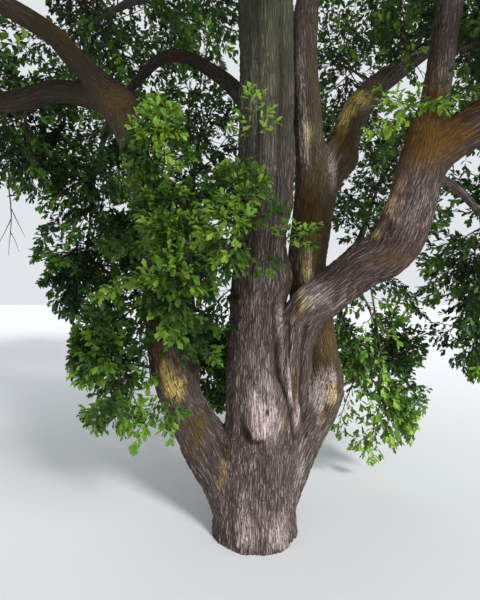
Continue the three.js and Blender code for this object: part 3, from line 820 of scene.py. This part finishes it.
# Stems, twigs and shoots of the foliage
# Young wood that goes on from each bough's tip or side into the room that the bough's foliage fills. It has
# smooth grey-brown bark, forks a golden angle apart, and thins out to leafy shoots that bend down a little.
MASS_GAP = 1.06
CLEARANCE = 0.025
STEP = 0.05
LONGEST_ROOM = 90
FEWEST_TWIGS = 3
TWIGS_PER_METRE = 0.9
SIDE_STEM_RADIUS = 0.026
STEM_SHARE_OF_TIP = 0.8
STEM_BOW_AT = 0.55
STEM_BOW = 0.12
STEM_PAST_MIDDLE = 0.5
STEM_TAPER = (0.7, 0.3)
STEM_STEPS = 12
TWIG_REACH = 0.5
TWIG_LEAN = (2, 0)
LEAN_SPREAD = 0.2
TURN_SPREAD = 0.8
TWIGS_WITHIN = 0.8
TWIG_RADIUS = 0.025
TWIG_SHARE_OF_STEM = 0.8
SHORTEST = 0.16
SIDE_BLADES = 2
SIDE_FORK = 0.7
SIDE_FORK_SPREAD = 0.4
END_FORK = 0.1
FIRST_SPRAY_AT = 0.35
SPRAY_GAP = 0.3
END_SPRAY_AT = 0.8
BELLY_AT = 0.55
BLADE_WIDTH = 0.62
BLADE_THICKNESS = 0.035
LONGEST_BLADE = 1.3
FIT = 0.88
FORKS_ON_SPRAY = 2
FIRST_FORK_AT = 0.25
FINER_FORK = 0.6
EXTRA_ON_TWIG = 4
EXTRA_ON_STEM = 9
EXTRA_LEAN = (1.7, 0.3)
EXTRA_WITHIN = 0.9
GOLDEN_ANGLE = math.pi * (3 - math.sqrt(5))
UPWARD = np.array([0.1, 0.2, 1.0])
SEED_FACTOR = 7919
DRAW_FACTOR = 16807
DRAW_RANGE = 2**31 - 1
# Each mass of foliage by its middle and half widths in millimetres, its bough and where on it the mass
# starts, how brightly its leaves are painted as lit from 0 to 1, how far it hangs, its leaves' length and its
# shoots per metre.
SHOWN_MASSES = {
    "left_skirt": [[-2250, 1200, 3650], [900, 900, 1700], "left_arc_bough", 1, 0.30, 0.30, 0.115, 19],
    "left_drape": [[-2850, 500, 4700], [720, 700, 950], "left_lower_bough", 0.55, 0.30, 0.20, 0.11, 15],
    "left_low": [[-1480, -300, 1950], [500, 460, 880], "left_stem", 0.42, 0.50, 0.15, 0.10, 22],
    "left_front": [[-740, -580, 2780], [560, 340, 580], "left_stem", 0.6, 0.57, 0.10, 0.10, 24],
    "left_middle": [[-840, -480, 3420], [480, 420, 500], "left_stem", 0.7, 0.54, 0.10, 0.10, 25],
    "left_shoots": [[-960, -580, 4030], [400, 330, 620], "left_stem", 0.8, 0.60, 0.05, 0.10, 20],
    "leader_shoots": [[-150, -720, 3300], [520, 340, 700], "leader", 0.3, 0.62, 0.05, 0.10, 16],
    "inner_left": [[-700, 750, 4600], [620, 650, 1150], "left_inner_bough", 1, 0.38, 0.10, 0.12, 5],
    "left_behind": [[-1300, 1500, 3250], [950, 700, 1400], "left_inner_bough", 0.6, 0.33, 0.20, 0.14, 20],
    "inner_right": [[2300, 2700, 4500], [1450, 1250, 1450], "back_low_bough", 1, 0.36, 0.15, 0.13, 9],
    "inner_top": [[1700, 2800, 6800], [1350, 1200, 1400], "back_right_bough", 0.7, 0.46, 0.10, 0.12, 5.5],
    "left_top": [[-2300, 1700, 6900], [1600, 1450, 1250], "left_top_bough", 1, 0.42, 0.10, 0.12, 11],
    "right_inner": [[2450, 700, 6250], [900, 700, 950], "back_right_bough", 0.6, 0.46, 0.10, 0.12, 8],
    "right_edge": [[2300, -450, 5250], [620, 550, 760], "right_rising_bough", 0.4, 0.40, 0.10, 0.10, 16],
    "right_hanging": [[2950, 700, 3050], [900, 800, 1650], "right_hanging_bough", 1, 0.38, 0.35, 0.11, 19],
    "right_low": [[1720, 1150, 1600], [820, 650, 1400], "back_stem", 0.35, 0.46, 0.35, 0.11, 18],
    "back_low": [[-560, 1250, 1650], [480, 560, 840], "left_stem", 0.25, 0.46, 0.20, 0.12, 25],
}
# The rest of the crown in rings round the trunk: how far out, how high, the half widths, and each mass's
# turn, bough and start. All of them have the same painted light, hang, leaf length and shoots per metre.
CROWN_RINGS = [
    [4600, 6000, [1950, 1950, 1600], {
        "left": [176, "left_lower_bough", 1], "left_outer": [211, "left_upper_bough", 1],
        "front_left": [251, "front_left_bough", 1], "front_right": [292, "front_right_bough", 1],
        "right_outer": [338, "right_outer_bough", 1], "right": [24, "back_right_bough", 1],
        "back": [78, "back_bough", 1], "back_left": [124, "back_left_bough", 1],
    }],
    [3600, 8500, [2000, 2000, 1650], {
        "upper_left": [172, "upper_left_bough", 1], "upper_front_left": [232, "upper_front_left_bough", 1],
        "upper_front": [289, "upper_front_bough", 1], "upper_right": [346, "right_rising_bough", 1],
        "upper_back_right": [48, "back_rising_bough", 1], "upper_back": [110, "upper_back_bough", 1],
    }],
    [2000, 10400, [1750, 1750, 1500], {
        "top_left": [210, "leader", 0.92], "top_front": [300, "leader", 0.98],
        "top_right": [30, "leader", 0.96], "top_back": [120, "leader", 0.88],
    }],
    [150, 11100, [1500, 1500, 1300], {"top_middle": [270, "leader", 1]}],
]
RING_HABIT = [0.44, 0.10, 0.14, 6.2]
# Sprays too small for a mass: from where to where, painted light, leaf length and shoots per metre.
SMALL_SPRAYS = [
    [(1.54, -0.68, 4.40), (1.22, -0.85, 4.50), 0.92, 0.10, 20],
    [(1.54, -0.68, 4.38), (1.18, -0.80, 4.27), 0.80, 0.10, 20],
    [(1.60, -0.75, 4.45), (1.55, -1.02, 4.36), 0.50, 0.10, 20],
    [(1.52, -0.60, 4.30), (1.30, -0.55, 4.10), 0.45, 0.10, 20],
    [(1.74, -0.70, 4.60), (1.95, -0.95, 4.45), 0.45, 0.10, 20],
    [(0.00, -0.60, 4.15), (-0.02, -0.85, 4.42), 0.85, 0.09, 18],
    [(1.15, -0.50, 2.72), (1.24, -0.60, 2.02), 0.45, 0.09, 8],
    [(-0.95, -0.20, 1.62), (-1.12, -0.50, 1.36), 0.50, 0.09, 22],
    [(-0.84, -0.25, 1.58), (-0.88, -0.52, 1.40), 0.45, 0.09, 22],
    [(0.60, 0.10, 3.20), (0.56, -0.30, 3.32), 0.60, 0.08, 16],
    [(0.28, -0.45, 3.20), (0.42, -0.72, 3.30), 0.75, 0.08, 16],
    [(-1.05, -0.20, 2.95), (-1.38, -0.62, 2.78), 0.50, 0.10, 24],
    [(-1.03, -0.20, 2.75), (-0.82, -0.70, 2.45), 0.62, 0.10, 24],
    [(-1.02, -0.18, 2.60), (-1.40, -0.55, 2.48), 0.42, 0.10, 24],
    [(-1.00, -0.18, 2.52), (-1.12, -0.62, 2.28), 0.48, 0.10, 24],
    [(-0.98, -0.15, 2.35), (-0.72, -0.52, 2.20), 0.40, 0.10, 22],
    [(-0.74, 0.05, 2.40), (-0.52, -0.30, 2.38), 0.45, 0.10, 22],
    [(-0.24, 0.02, 2.72), (-0.50, -0.28, 2.55), 0.32, 0.10, 22],
    [(-0.25, 0.02, 2.52), (-0.52, -0.24, 2.34), 0.28, 0.10, 22],
    [(-0.75, 0.10, 2.15), (-0.48, -0.15, 2.05), 0.30, 0.10, 22],
    [(-1.05, -0.15, 3.20), (-1.36, -0.50, 3.20), 0.45, 0.10, 22],
    [(-1.00, -0.12, 2.10), (-1.32, -0.45, 2.05), 0.40, 0.10, 22],
    [(1.12, 1.07, 2.80), (1.42, 0.95, 1.75), 0.42, 0.10, 15],
    [(1.53, 1.79, 3.14), (1.98, 1.50, 2.05), 0.38, 0.11, 15],
    [(1.53, 1.79, 3.14), (2.30, 1.60, 2.70), 0.40, 0.11, 15],
    [(1.86, 2.44, 3.50), (2.62, 1.90, 2.62), 0.38, 0.11, 15],
]
SMALL_SPRAY_HANG = 0.15
# Leafless twigs under the left drape, each through three places with its thickness there.
BARE_TWIGS = [
    [[-3.03, 0.45, 4.05, 0.009], [-2.99, 0.45, 3.60, 0.006], [-3.01, 0.42, 3.12, 0.002]],
    [[-2.99, 0.45, 3.70, 0.006], [-2.90, 0.44, 3.52, 0.004], [-2.80, 0.42, 3.34, 0.002]],
    [[-2.99, 0.45, 3.58, 0.006], [-3.06, 0.44, 3.42, 0.004], [-3.13, 0.42, 3.26, 0.002]],
    [[-3.00, 0.44, 3.42, 0.005], [-2.93, 0.43, 3.30, 0.003], [-2.88, 0.42, 3.16, 0.002]],
]

masses = dict(SHOWN_MASSES)
for out, height, half, ring in CROWN_RINGS:
    for name, (turn, on, start) in ring.items():
        masses[name] = [outward(turn) * out + [0, 0, height], half, on, start, *RING_HABIT]
foliage_nodes = [name + "_foliage" for name in masses]
every_mass = range(len(masses))
middles, halves, mass_boughs, mass_starts, *habits = zip(*masses.values())
mass_middles, mass_halves = np.array(middles) / 1000, np.array(halves) / 1000
mass_habits = list(zip(*habits))
limb_balls = [along_limb(points, LINE_STEPS) for points in LIMBS.values()]
ball_middles = np.concatenate([at for at, _, _ in limb_balls])
ball_radii = np.concatenate([radius for _, _, radius in limb_balls])


def depth_in(mass, points):
    """1 at the surface of a mass's space, less inside it and more outside."""
    return np.linalg.norm((points - mass_middles[mass]) / mass_halves[mass], axis=-1)


def is_open(mass, points):
    """Whether points are in a mass's space and clear of limbs. Finer growth may mingle with a neighbour's."""
    off = np.linalg.norm(points[:, None] - ball_middles, axis=2)
    clear = (off > ball_radii + CLEARANCE).all(axis=1)
    return (depth_in(mass, points) <= 1) & (points[:, 2] >= CLEARANCE) & clear


def is_free(mass, points):
    """Whether points are also nearer the middle of the mass than that of any other."""
    depths = np.stack([depth_in(other, points) for other in every_mass])
    own = depths[mass].copy()
    depths[mass] = np.inf
    return (depths.min(axis=0) >= MASS_GAP * own) & is_open(mass, points)


def room(mass, start, way, allowed=is_free):
    """How far a twig can grow from a point in a direction before it leaves the space allowed."""
    lengths = STEP * np.arange(1, LONGEST_ROOM)
    free = allowed(mass, start + way * lengths[:, None])
    return STEP * (len(free) if free.all() else np.argmin(free))


def seeded_draw(seed):
    """Draws between 0 and 1, the same run of them for the same seed."""
    state = seed * SEED_FACTOR + 1
    while True:
        state = state * DRAW_FACTOR % DRAW_RANGE
        yield state / DRAW_RANGE


def about(middle, spread, chance):
    """The middle give or take half the spread, by a chance from 0 to 1."""
    return middle + spread * (chance - 0.5)


def stem_line(mass):
    """The stem of a mass, which bows from its bough into the middle of its space and a bit past it."""
    start = mass_starts[mass]
    limb = along_limb(LIMBS[mass_boughs[mass]], LINE_STEPS)
    at, along, radius = (part[round(start * (len(part) - 1))] for part in limb)
    middle = mass_middles[mass]
    from_tip = start == 1
    thick = STEM_SHARE_OF_TIP * radius if from_tip else SIDE_STEM_RADIUS
    reach = np.linalg.norm(middle - at)
    bend = between(at, middle, STEM_BOW_AT) + along * (STEM_BOW * reach if from_tip else 0)
    end = between(at, middle, 1 + STEM_PAST_MIDDLE * mass_halves[mass].min() / reach)
    at_bend, at_end = (share * thick for share in STEM_TAPER)
    return np.array([[*at, thick], [*bend, at_bend], [*end, at_end]])


def lean_out(way, turn, lean):
    """A direction that leans away from another by an angle, at a turn round it."""
    return across(way, UPWARD, turn) * math.sin(lean) + way * math.cos(lean)


def blade_corners(root, out, span, up):
    belly, side = root + BELLY_AT * span * out, np.cross(out, up)
    wide, thick = 0.5 * BLADE_WIDTH * span * side, 0.5 * BLADE_THICKNESS * span * up
    return np.array([root + span * out, belly + thick, belly + wide, belly - thick, belly - wide])


def grow_mass(mass):
    """The twigs of a mass and the sprays on them, by one rule that runs from the mass's own seed."""
    draws = seeded_draw(mass + 1)
    at, along, radius = along_limb(stem_line(mass), STEM_STEPS)
    inside = depth_in(mass, at) < TWIGS_WITHIN
    at, along, radius = at[inside], along[inside], radius[inside]
    count = round(FEWEST_TWIGS + TWIGS_PER_METRE * np.cbrt(mass_halves[mass].prod()))
    twigs, sprays = [], []
    for i in range(count):
        share = (i + 0.5) / count
        k = math.floor(share * (len(at) - 1) + 0.5)
        lean = about(between(*TWIG_LEAN, share), LEAN_SPREAD, next(draws))
        way = lean_out(along[k], i * GOLDEN_ANGLE + TURN_SPREAD * next(draws), lean)
        length = TWIG_REACH * room(mass, at[k], way) * (0.9 + 0.2 * next(draws))
        if length < SHORTEST:
            continue
        twigs.append([at[k], way, length, min(TWIG_SHARE_OF_STEM * radius[k], TWIG_RADIUS * length)])
        for j in range(SIDE_BLADES + 1):
            last = j == SIDE_BLADES
            fork = END_FORK * next(draws) if last else SIDE_FORK + SIDE_FORK_SPREAD * next(draws)
            out = lean_out(way, math.pi * (j + 0.4 * next(draws)), fork)
            root = at[k] + way * length * (END_SPRAY_AT if last else FIRST_SPRAY_AT + SPRAY_GAP * j)
            face = across(out, UPWARD, about(0, 2, next(draws)))
            span = min(room(mass, root, out), LONGEST_BLADE)
            while span > SHORTEST and not is_free(mass, blade_corners(root, out, span, face)).all():
                span *= FIT
            if span > SHORTEST:
                sprays.append([root, out, span, face])
    return twigs, sprays


def grow_finer(mass, twigs, sprays):
    """More branchlets by the same rule: forks of the sprays, and others on the twigs and along the stem."""
    draw = np.random.default_rng(100 + mass).random
    more = []
    for root, out, span, _ in sprays:
        for j in range(FORKS_ON_SPRAY):
            turn = about(math.pi * (j + 0.5), 0.9, draw())
            start = root + out * span * (FIRST_FORK_AT + SPRAY_GAP * j)
            more.append([start, lean_out(out, turn, FINER_FORK + 0.5 * draw())])
    for at, way, length, _ in twigs:
        for j in range(EXTRA_ON_TWIG):
            out = lean_out(way, j * GOLDEN_ANGLE + TURN_SPREAD * draw(), FINER_FORK + 0.6 * draw())
            more.append([at + way * length * (0.2 + 0.75 * (j + draw()) / EXTRA_ON_TWIG), out])
    at, along, _ = along_limb(stem_line(mass), STEM_STEPS)
    inside = np.flatnonzero(depth_in(mass, at) < EXTRA_WITHIN)
    for j in range(EXTRA_ON_STEM):
        k = inside[int((j + draw()) / EXTRA_ON_STEM * len(inside))]
        lean = between(*EXTRA_LEAN, j / EXTRA_ON_STEM)
        more.append([at[k], lean_out(along[k], (j + 0.5) * GOLDEN_ANGLE + draw(), lean)])
    grown = []
    for root, out in more:
        span = min(room(mass, root, out, is_open), LONGEST_BLADE) * (0.75 + 0.2 * draw())
        if span > SHORTEST:
            grown.append([root, out, span, across(out, UPWARD, about(0, 2, draw()))])
    return grown


# Each branchlet has its root, direction, length and upper side, its mass's number, and the mass's habit.
twigs, branchlets, branchlet_mass = [], [], []
for mass in every_mass:
    own_twigs, own_sprays = grow_mass(mass)
    own_sprays += grow_finer(mass, own_twigs, own_sprays)
    twigs += own_twigs
    branchlets += own_sprays
    branchlet_mass += [mass] * len(own_sprays)
branchlet_habits = [mass_habits[mass] for mass in branchlet_mass]
for start, end, light, *leafing in SMALL_SPRAYS:
    reach = np.subtract(end, start)
    branchlets.append([start, unit(reach), np.linalg.norm(reach), across(unit(reach), UPWARD)])
    branchlet_mass.append(-1)
    branchlet_habits.append([light, SMALL_SPRAY_HANG, *leafing])
branchlet_mass = np.array(branchlet_mass)
root, way, span, face = (np.array(column, float) for column in zip(*branchlets))
lit, hang, leaf_length, shoots_per_metre = np.array(branchlet_habits, float).T


def on_branchlets(which, share):
    """A place on each chosen branchlet, which hangs more towards its tip."""
    down = (hang[which] * span[which] * share**2)[:, None] * [0, 0, -1]
    return root[which] + way[which] * (span[which] * share)[:, None] + down


# Shoots stand on both sides of each branchlet and lean forward more towards its tip. One that would end
# outside its mass or near the ground is tried shorter. A branchlet ends at its last shoot.
FEWEST_SHOOTS = 3
SHOOT_LEAN = (1.15, 0.25)
SHOOT_DROOP = 0.8
SHOOT_START = 0.10
SHOOT_PER_SPAN = 0.28
TIP_LEAF = 0.06
OUTERMOST_SHOOT = 0.98
LOWEST_SHOOT = 0.2
SHOOT_TRIES = 3
SHORTEN = 0.6
growth = np.random.default_rng(7)
count = np.maximum(FEWEST_SHOOTS, np.ceil(span * shoots_per_metre)).astype(int)
carrier = np.repeat(np.arange(len(span)), count)
rank = np.arange(len(carrier)) - np.repeat(count.cumsum() - count, count)
share = (rank + 0.3 + 0.6 * growth.random(len(carrier))) / count[carrier]
shoot_root = on_branchlets(carrier, share)
fork = about(between(*SHOOT_LEAN, share), 0.4, growth.random(len(carrier)))
turn = about(np.pi * (rank % 2), 1.3, growth.random(len(carrier)))
shoot_out = across(way[carrier], np.cross(way, face)[carrier], turn)
shoot_way = shoot_out * np.sin(fork)[:, None] + way[carrier] * np.cos(fork)[:, None]
shoot_way = unit(shoot_way - hang[carrier][:, None] * [0, 0, SHOOT_DROOP])
shoot_span = SHOOT_START + SHOOT_PER_SPAN * span[carrier] * (1 - 0.5 * share)
shoot_span = shoot_span * (0.7 + 0.6 * growth.random(len(carrier)))
shoot_mass = branchlet_mass[carrier]
kept = shoot_mass < 0
for mass in every_mass:
    mine = np.flatnonzero(shoot_mass == mass)
    for _ in range(SHOOT_TRIES):
        tips = shoot_root[mine] + shoot_way[mine] * (shoot_span[mine] + TIP_LEAF)[:, None]
        fits = is_open(mass, tips) & (depth_in(mass, tips) < OUTERMOST_SHOOT) & (tips[:, 2] > LOWEST_SHOOT)
        kept[mine[fits]] = True
        mine = mine[~fits]
        shoot_span[mine] *= SHORTEN
carrier, share, shoot_root, shoot_way, shoot_span, shoot_mass = (
    part[kept] for part in (carrier, share, shoot_root, shoot_way, shoot_span, shoot_mass))
grown = np.zeros(len(span))
np.maximum.at(grown, carrier, share)


def thin_tubes(lines, radii, sides):
    """Corners and faces of open tapering tubes, one along each line of the same number of places."""
    along = unit(np.gradient(lines, axis=1))
    rings = rings_round(lines, along, across(along, np.array([1, 0.3, 0.2])), radii, sides)
    return rings.reshape(-1, 3), walls_between(rings)


def tubes_through(rows, steps, sides):
    """Tubes along smooth lines, each through places with the radius there."""
    at, _, radii = zip(*(along_limb(np.array(row), steps) for row in rows))
    return thin_tubes(np.array(at), np.array(radii), sides)


stem_lines = [stem_line(mass) for mass in every_mass]
for line, start in zip(stem_lines, mass_starts):
    if start == 1:
        line[0, 3] /= STEM_SHARE_OF_TIP
TWIG_ARCH = 0.06
TWIG_TAPER = (0.75, 0.5)
twig_lines = []
for at, out, length, radius in twigs:
    middle = at + 0.5 * length * out + [0, 0, TWIG_ARCH * length]
    at_middle, at_end = (share * radius for share in TWIG_TAPER)
    twig_lines.append([[*at, radius], [*middle, at_middle], [*(at + length * out), at_end]])
BRANCHLET_RADIUS = 0.006
BRANCHLET_RADIUS_PER_SPAN = 0.008
BRANCHLET_TAPER = [1, 0.85, 0.7, 0.5, 0.3]
leafy = np.flatnonzero(grown > 0)
stations = [on_branchlets(leafy, grown[leafy] * step) for step in np.linspace(0, 1, len(BRANCHLET_TAPER))]
branchlet_lines = np.stack(stations, axis=1)
branchlet_radii = np.outer(BRANCHLET_RADIUS + BRANCHLET_RADIUS_PER_SPAN * span[leafy], BRANCHLET_TAPER)
twig_parts = [tubes_through(stem_lines, 5, 6), tubes_through(twig_lines, 3, 6),
              thin_tubes(branchlet_lines, branchlet_radii, 3), tubes_through(BARE_TWIGS, 3, 4)]
young_wood = plain_material("young_wood", (0.070, 0.056, 0.044), 0.85)
add_piece("twigs", twig_parts, young_wood, foliage_nodes)


def many(corners, faces):
    """Corners and faces of many like things, from the corners of each and the faces that all of them have."""
    number, corners_each, _ = corners.shape
    faces = np.array(faces) + corners_each * np.arange(number)[:, None, None]
    return corners.reshape(-1, 3), faces.reshape(-1, 3)


# A shoot is a slim spike on three corners.
SHOOT_FACES = [[0, 1, 3], [1, 2, 3], [2, 0, 3]]
SHOOT_RADIUS = 0.0032
SHOOT_RADIUS_PER_SPAN = 0.005
shoot_tip = shoot_root + shoot_way * shoot_span[:, None]
shoot_radius = (SHOOT_RADIUS + SHOOT_RADIUS_PER_SPAN * shoot_span)[:, None]
side = across(shoot_way, UPWARD)
turns = (0, 2 * np.pi / 3, 4 * np.pi / 3)
ring = [shoot_root + shoot_radius * across(shoot_way, side, turn) for turn in turns]
shoots = many(np.stack([*ring, shoot_tip], axis=1), SHOOT_FACES)
shoot_wood = plain_material("shoot_wood", (0.11, 0.105, 0.05), 0.8)
add_piece("shoots", [shoots], shoot_wood, foliage_nodes)

# Dead stubs
# What is left of side twigs that died on the boughs, bare of bark and bleached pale by the weather. Each goes
# through three places, with its thickness there.
DEAD_STUBS = [
    [[1.27, 0.52, 4.92, 0.024], [1.40, 0.32, 4.91, 0.017], [1.56, 0.25, 4.86, 0.008]],
    [[1.93, 0.98, 5.70, 0.026], [2.06, 0.78, 5.79, 0.020], [2.34, 0.60, 5.78, 0.010]],
    [[0.10, -0.62, 3.28, 0.008], [0.16, -0.74, 3.29, 0.006], [0.27, -0.78, 3.30, 0.003]],
    [[-1.74, -0.60, 5.00, 0.016], [-1.80, -0.66, 5.07, 0.012], [-1.78, -0.68, 5.12, 0.006]],
]
dead_wood = plain_material("dead_wood", (0.27, 0.23, 0.19), 0.85)
add_piece("dead_stubs", [tubes_through(DEAD_STUBS, 4, 6)], dead_wood, wood_nodes)

# Leaves
# Lobed leaves, leathery and a little folded along the midrib, that alternate along each shoot and crowd at
# its tip. Their greens are lit and shaded copies of one leaf colour: painted sunlight makes the front and
# outer ones yellow-green, and painted shade makes those behind and inside dark green.
LEAF_OUTLINE = np.array([
    [0, 0, 0], [1, 0, -0.08], [0.33, 0.19, 0.05], [0.45, 0.13, 0.03], [0.66, 0.26, 0.08], [0.82, 0.15, 0.03],
    [0.33, -0.19, 0.05], [0.45, -0.13, 0.03], [0.66, -0.26, 0.08], [0.82, -0.15, 0.03],
])
# The faces of a near leaf, of one further back and of one in the rest of the crown, by the leaf's length.
LEAF_KINDS = [
    [0.00, 0.105, [
        [0, 3, 2], [3, 5, 4], [0, 5, 3], [0, 1, 5], [0, 6, 7], [7, 8, 9], [0, 7, 9], [0, 9, 1],
    ]],
    [0.105, 0.14, [[0, 3, 2], [3, 1, 4], [0, 1, 3], [0, 6, 7], [7, 8, 1], [0, 7, 1]]],
    [0.14, 1.00, [[0, 4, 2], [0, 1, 4], [0, 6, 8], [0, 8, 1]]],
]
# Lit and shaded copies of one leaf green, from painted deep shade to painted full sun.
LIT_AND_SHADED_LEAF_COLOURS = {
    "leaves_shade": (0.015, 0.040, 0.012),
    "leaves_deep": (0.026, 0.066, 0.016),
    "leaves_dark": (0.040, 0.094, 0.019),
    "leaves_green": (0.056, 0.130, 0.020),
    "leaves_mid": (0.080, 0.175, 0.022),
    "leaves_fresh": (0.112, 0.230, 0.025),
    "leaves_bright": (0.165, 0.320, 0.032),
    "leaves_yellow": (0.270, 0.440, 0.055),
}
LEAVES_ON_SHOOT = 8
CROWDED = 2.5
FIRST_LEAF = 0.25
LEAF_LEAN = (1.25, 0.55)
LEAF_DROOP = 0.25
LEAF_UPRIGHT = 0.55
OUTERMOST_LEAF = 0.985
LOWEST_LEAF = 0.05
BOX_MARGIN = 0.2
holder = np.repeat(np.arange(len(shoot_span)), LEAVES_ON_SHOOT)
rank = np.tile(np.arange(LEAVES_ON_SHOOT), len(shoot_span))
chance = growth.random((6, len(holder)))
leaf_share = np.minimum(1, (rank + 0.5 * chance[0]) / (LEAVES_ON_SHOOT - CROWDED))
leaf_share = FIRST_LEAF + (1 - FIRST_LEAF) * leaf_share
leaf_root = shoot_root[holder] + shoot_way[holder] * (shoot_span[holder] * leaf_share)[:, None]
lean = about(between(*LEAF_LEAN, leaf_share), 0.5, chance[1])
turn = rank * GOLDEN_ANGLE + 1.2 * chance[2] + holder
leaf_out = across(shoot_way[holder], UPWARD, turn)
leaf_way = leaf_out * np.sin(lean)[:, None] + shoot_way[holder] * np.cos(lean)[:, None]
leaf_way = unit(leaf_way - [0, 0, LEAF_DROOP])
leaf_up = unit(np.stack([chance[3] - 0.5, chance[4] - 0.6, np.full(len(holder), LEAF_UPRIGHT)], axis=1))
leaf_up = across(leaf_way, leaf_up)
leaf_side = np.cross(leaf_up, leaf_way)
usual_size = leaf_length[carrier][holder]
size = usual_size * (0.7 + 0.5 * chance[5])
leaf_tip = leaf_root + leaf_way * size[:, None]
leaf_mass = shoot_mass[holder]
fits = leaf_mass < 0
for mass in every_mass:
    mine = np.flatnonzero(leaf_mass == mass)
    fits[mine] = depth_in(mass, leaf_tip[mine]) < OUTERMOST_LEAF
low, high = np.array(cad_box[0]) - BOX_MARGIN, np.array(cad_box[1]) + BOX_MARGIN
fits &= (leaf_tip > low).all(1) & (leaf_tip < high).all(1) & (leaf_tip[:, 2] > LOWEST_LEAF)
forward, sideways, upward = LEAF_OUTLINE.T[:, :, None]
leaf_corners = leaf_root[:, None] + size[:, None, None] * (
    forward * leaf_way[:, None] + sideways * leaf_side[:, None] + upward * leaf_up[:, None])

# Colour goes by spray as painted light and shade, from how well lit its mass is, how far out it grows in its
# mass and in the crown, and chance. Painted patches of sunlight make the front sprays brighter in places:
# middle, size and how much brighter.
PAINTED_SUN_PLACES = [
    [(-0.95, -0.85, 4.34), (0.22, 0.5, 0.24), 0.34], [(-0.76, -0.85, 3.95), (0.14, 0.5, 0.18), 0.24],
    [(-0.26, -0.95, 3.2), (0.26, 0.5, 0.18), 0.42], [(-0.02, -0.95, 3.5), (0.18, 0.5, 0.16), 0.06],
    [(-0.05, -0.95, 4.2), (0.2, 0.5, 0.3), 0.28], [(-0.45, -0.85, 2.8), (0.14, 0.4, 0.12), 0.2],
    [(-1.27, -0.55, 2.68), (0.22, 0.5, 0.14), 0.26], [(-1.02, -0.6, 2.45), (0.16, 0.5, 0.14), 0.16],
]
CROWN_MIDDLE = [0, 0, 6.5]
CROWN_HALF = [6.2, 6.2, 6.0]
WELL_OUT = 0.75
PAINTED_LIGHT_OUT_IN_MASS = 0.30
PAINTED_LIGHT_OUT_IN_CROWN = 0.5
BRANCHLET_SPREAD = 0.56
SHOOT_SPREAD = 0.48
branchlet_chance = np.random.default_rng(8).random(len(span))
shoot_chance = np.random.default_rng(9).random(len(shoot_span))
inner = np.array([depth_in(mass, tip) for mass, tip in zip(shoot_mass, shoot_tip)])
inner = np.where(shoot_mass < 0, 1, inner)
crown_out = np.linalg.norm((shoot_tip - CROWN_MIDDLE) / CROWN_HALF, axis=1)
painted_light = lit[carrier] + PAINTED_LIGHT_OUT_IN_MASS * (inner - WELL_OUT)
painted_light = painted_light + PAINTED_LIGHT_OUT_IN_CROWN * np.clip(crown_out - WELL_OUT, 0, 0.4)
painted_light = about(painted_light, BRANCHLET_SPREAD, branchlet_chance[carrier])
painted_light = about(painted_light, SHOOT_SPREAD, shoot_chance) + sum_of_places(shoot_tip, PAINTED_SUN_PLACES)
shade = np.clip((painted_light * len(LIT_AND_SHADED_LEAF_COLOURS)).astype(int), 0, len(LIT_AND_SHADED_LEAF_COLOURS) - 1)
for number, (name, colour) in enumerate(LIT_AND_SHADED_LEAF_COLOURS.items()):
    parts = []
    for shortest, longest, leaf_faces in LEAF_KINDS:
        kind = (usual_size >= shortest) & (usual_size < longest)
        mine = np.flatnonzero(fits & kind & (shade[holder] == number))
        parts.append(many(leaf_corners[mine], leaf_faces))
    add_piece(name, parts, plain_material(name, colour, 0.55), foliage_nodes)

# Floor, light and camera
# A plain pale studio floor, even light from all round and one soft, low sun from the right. The camera is
# 4.5 m in front of the trunk and 2.72 m above the ground, which is where the photo was taken from.
FLOOR_HALF = 60
floor_mesh = bpy.data.meshes.new("floor")
floor_corners = [(x * FLOOR_HALF, y * FLOOR_HALF, 0) for x, y in ((-1, -1), (1, -1), (1, 1), (-1, 1))]
floor_mesh.from_pydata(floor_corners, [], [(0, 1, 2, 3)])
floor_mesh.materials.append(plain_material("floor", (0.78, 0.79, 0.80), 0.9))
add_object("floor", floor_mesh)

world = bpy.data.worlds.new("studio")
world.use_nodes = True
even_light = world.node_tree.nodes["Background"]
even_light.inputs["Color"].default_value = (0.93, 0.96, 1.0, 1)
even_light.inputs["Strength"].default_value = 0.82
bpy.context.scene.world = world
bpy.context.scene.view_settings.view_transform = "Standard"

sun_data = bpy.data.lights.new("key", "SUN")
sun_data.energy = 3.0
sun_data.angle = math.radians(11)
sun = add_object("key", sun_data)
sun.rotation_euler = (math.radians(60), 0, math.radians(36))

camera_data = bpy.data.cameras.new("camera")
camera_data.lens = 24
camera_data.sensor_width = 36
camera_data.shift_y = -0.02
camera_data.clip_end = 200
camera = add_object("camera", camera_data)
camera.location = (-0.16, -4.5, 2.72)
camera.rotation_euler = (math.radians(90), 0, 0)
bpy.context.scene.camera = camera
